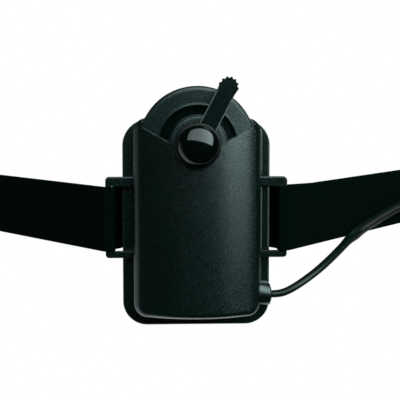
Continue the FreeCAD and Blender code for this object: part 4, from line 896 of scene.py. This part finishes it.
def splineLine(name, points):
    # the route as a NURBS curve, read back as the points along it
    curve = bpy.data.curves.new(name, "CURVE")
    curve.dimensions = "3D"
    curve.resolution_u = 10
    spline = curve.splines.new("NURBS")
    spline.points.add(len(points) - 1)
    spline.points.foreach_set("co", np.hstack([points, np.ones((len(points), 1))]).ravel())
    spline.order_u = 3
    spline.use_endpoint_u = True
    holder = newObject(name, curve)
    bpy.context.view_layer.update()
    mesh = bpy.data.meshes.new_from_object(holder)
    line = np.zeros(len(mesh.vertices) * 3)
    mesh.vertices.foreach_get("co", line)
    bpy.data.objects.remove(holder)
    bpy.data.meshes.remove(mesh)
    return line.reshape(-1, 3)


def twinLead():
    # two round wires that meet in a waist: a section of two arcs carried along the route, whose width turns
    # by smooth steps from rearward to upright on the belt and, in the coil, to point away from it
    points, coilOut = leadRoute()
    line = splineLine("leadLine", points * mm) / mm
    along = lengths(line)
    ahead = tangents(line)
    lay = smoothStep(along, *lead["lay"])[:, None]
    stand = smoothStep(along, *lead["stand"])[:, None]
    wide = np.array([0, 1.0, 0]) * (1 - lay) + np.array([0, 0, 1.0]) * lay
    wide = wide * (1 - stand) + coilOut * stand
    wide = unit(wide - (wide * ahead).sum(1, keepdims=True) * ahead)
    thick = np.cross(ahead, wide)
    wire, apart = lead["wire"] / 2, lead["apart"] / 2
    right = arcRun((apart, 0), (wire, wire), -lead["lobe"], lead["lobe"], 13)
    x, y = np.vstack([right, -right]).T
    grid = line[:, None, :] + x[None, :, None] * wide[:, None, :] + y[None, :, None] * thick[:, None, :]
    obj = meshFromGrid("twinLead", grid[:, ::-1] * mm, "lead_sheath", True, caps=True)
    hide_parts("cable", "cable_coil")
    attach(obj, "unit")
    print("lead length", round(float(along[-1]), 1))


twinLead()


# Studio: a pale floor well below the hanging unit, white behind, dark in front, one wide soft box

studio = {
    "floorZ": -0.30, "floorSize": 6.0, "floorColour": "#bcbcbb",
    "backX": -0.35, "backZ": -0.25, "wallFrom": 0.1, "wallFull": 0.6,  # where the white wall is seen in gloss
    "lowFull": -0.7, "lowEnd": 0.25, "lowGain": 1.2, "dark": 0.012,
}


def backgroundSeen(tree):
    # 1 for rays from the camera and through glass
    path = addNode(tree, "ShaderNodeLightPath").outputs
    return mathNode(tree, "MAXIMUM", path["Is Camera Ray"], path["Is Transmission Ray"])


def paleFloor():
    # one square far below; it is white to the camera, pale to the light, and lets gloss see the world behind
    half, height = studio["floorSize"] / 2, studio["floorZ"]
    mesh = bpy.data.meshes.new("paleFloor")
    corners = [(-half, -half, height), (half, -half, height), (half, half, height), (-half, half, height)]
    mesh.from_pydata(corners, [], [(0, 1, 2, 3)])
    material, tree, shader = newMaterial("paleSweep")
    setInputs(tree, shader, {"Base Color": linearColour(studio["floorColour"]), "Roughness": 0.9})
    glow = addNode(tree, "ShaderNodeEmission", inputs={"Color": linearColour("#ffffff"), "Strength": 1.0})
    lit = addNode(tree, "ShaderNodeMixShader", inputs={
        0: backgroundSeen(tree), 1: shader.outputs["BSDF"], 2: glow.outputs["Emission"]})
    clear = addNode(tree, "ShaderNodeBsdfTransparent")
    mix = addNode(tree, "ShaderNodeMixShader", inputs={
        0: addNode(tree, "ShaderNodeLightPath").outputs["Is Glossy Ray"], 1: lit.outputs["Shader"],
        2: clear.outputs["BSDF"]})
    output = [node for node in tree.nodes if node.type == "OUTPUT_MATERIAL"][0]
    tree.links.new(mix.outputs["Shader"], output.inputs["Surface"])
    mesh.materials.append(material)
    floor = newObject("paleFloor", mesh)


def studioWorld():
    # white to the camera; to reflections and light it is white low down behind the unit, rather to its left,
    # and nearly dark elsewhere: two clamped ranges of the direction, multiplied
    world = bpy.data.worlds.new("studio")
    bpy.context.scene.world = world
    world.use_nodes = True
    tree = world.node_tree
    tree.nodes.clear()
    direction = addNode(tree, "ShaderNodeTexCoord").outputs["Generated"]
    parts = addNode(tree, "ShaderNodeSeparateXYZ", inputs={"Vector": direction}).outputs
    rearward = mathNode(tree, "MULTIPLY_ADD", parts["X"], studio["backX"], parts["Y"])
    rearward = mathNode(tree, "MULTIPLY_ADD", parts["Z"], studio["backZ"], rearward)
    wall = valueRange(tree, rearward, 0.0, 1.0, studio["wallFrom"], studio["wallFull"])
    low = valueRange(tree, parts["Z"], studio["lowGain"], 0.0, studio["lowFull"], studio["lowEnd"])
    behind = mathNode(tree, "MULTIPLY_ADD", wall, low, studio["dark"])
    strength = mathNode(tree, "MAXIMUM", behind, backgroundSeen(tree))
    shade = addNode(tree, "ShaderNodeBackground", inputs={
        "Color": linearColour("#ffffff"), "Strength": strength})
    addNode(tree, "ShaderNodeOutputWorld", inputs={"Surface": shade.outputs["Background"]})


# Key lamp: metres, and the greys of its cloth from the left edge to the right one

keyLamp = {
    "place": (0.157, -0.497, 0.865), "facing": (0.200, -0.850, 0.487), "across": (0.969, 0.110, -0.258),
    "width": 2.28, "height": 1.386, "radiance": 5.6,
    "greys": ((0.0, "#8f8f8f"), (0.49, "#b8b8b8"), (0.8, "#efefef"), (1.0, "#cbcbcb")),
}


def softBox(name, lampSizes):
    # an area lamp whose radiance follows a ramp across its width; its own axes are its facing, its width made
    # square to that, and their cross product
    back = unit(np.array(lampSizes["facing"]))
    across = np.array(lampSizes["across"])
    across = unit(across - back * (across @ back))
    lamp = bpy.data.lights.new(name, "AREA")
    lamp.shape = "RECTANGLE"
    lamp.size, lamp.size_y = lampSizes["width"], lampSizes["height"]
    lamp.energy = math.pi * lamp.size * lamp.size_y
    lamp.use_nodes = True
    tree = lamp.node_tree
    tree.nodes.clear()
    spot = addNode(tree, "ShaderNodeSeparateXYZ", inputs={
        "Vector": addNode(tree, "ShaderNodeNewGeometry").outputs["Parametric"]})
    share = colourRamp(tree, spot.outputs["X"], lampSizes["greys"])
    glow = addNode(tree, "ShaderNodeEmission", inputs={
        "Strength": mathNode(tree, "MULTIPLY", share, lampSizes["radiance"])})
    addNode(tree, "ShaderNodeOutputLight", inputs={"Surface": glow.outputs["Emission"]})
    holder = newObject(name, lamp)
    holder.location = lampSizes["place"]
    holder.rotation_euler = Matrix((across, np.cross(back, across), back)).transposed().to_euler()


paleFloor()
studioWorld()
softBox("keyBox", keyLamp)
print("studio made")


# Camera: the photograph's place in millimetres and degrees, slightly left of and above the unit

view = {
    "place": (-21.5, -461.9, 51.07), "azimuth": -2.908, "elevation": 5.319, "lens": 104.35, "sensor": 36.0,
}

camera = bpy.data.cameras.new("photoCamera")
camera.sensor_width = view["sensor"]
camera.lens = view["lens"]
camera.clip_start = 0.01
holder = newObject("photoCamera", camera)
holder.location = [v * mm for v in view["place"]]
holder.rotation_euler = (math.radians(90 - view["elevation"]), 0, math.radians(view["azimuth"]))
bpy.context.scene.camera = holder
bpy.context.scene.view_settings.view_transform = "Standard"
print("camera set")
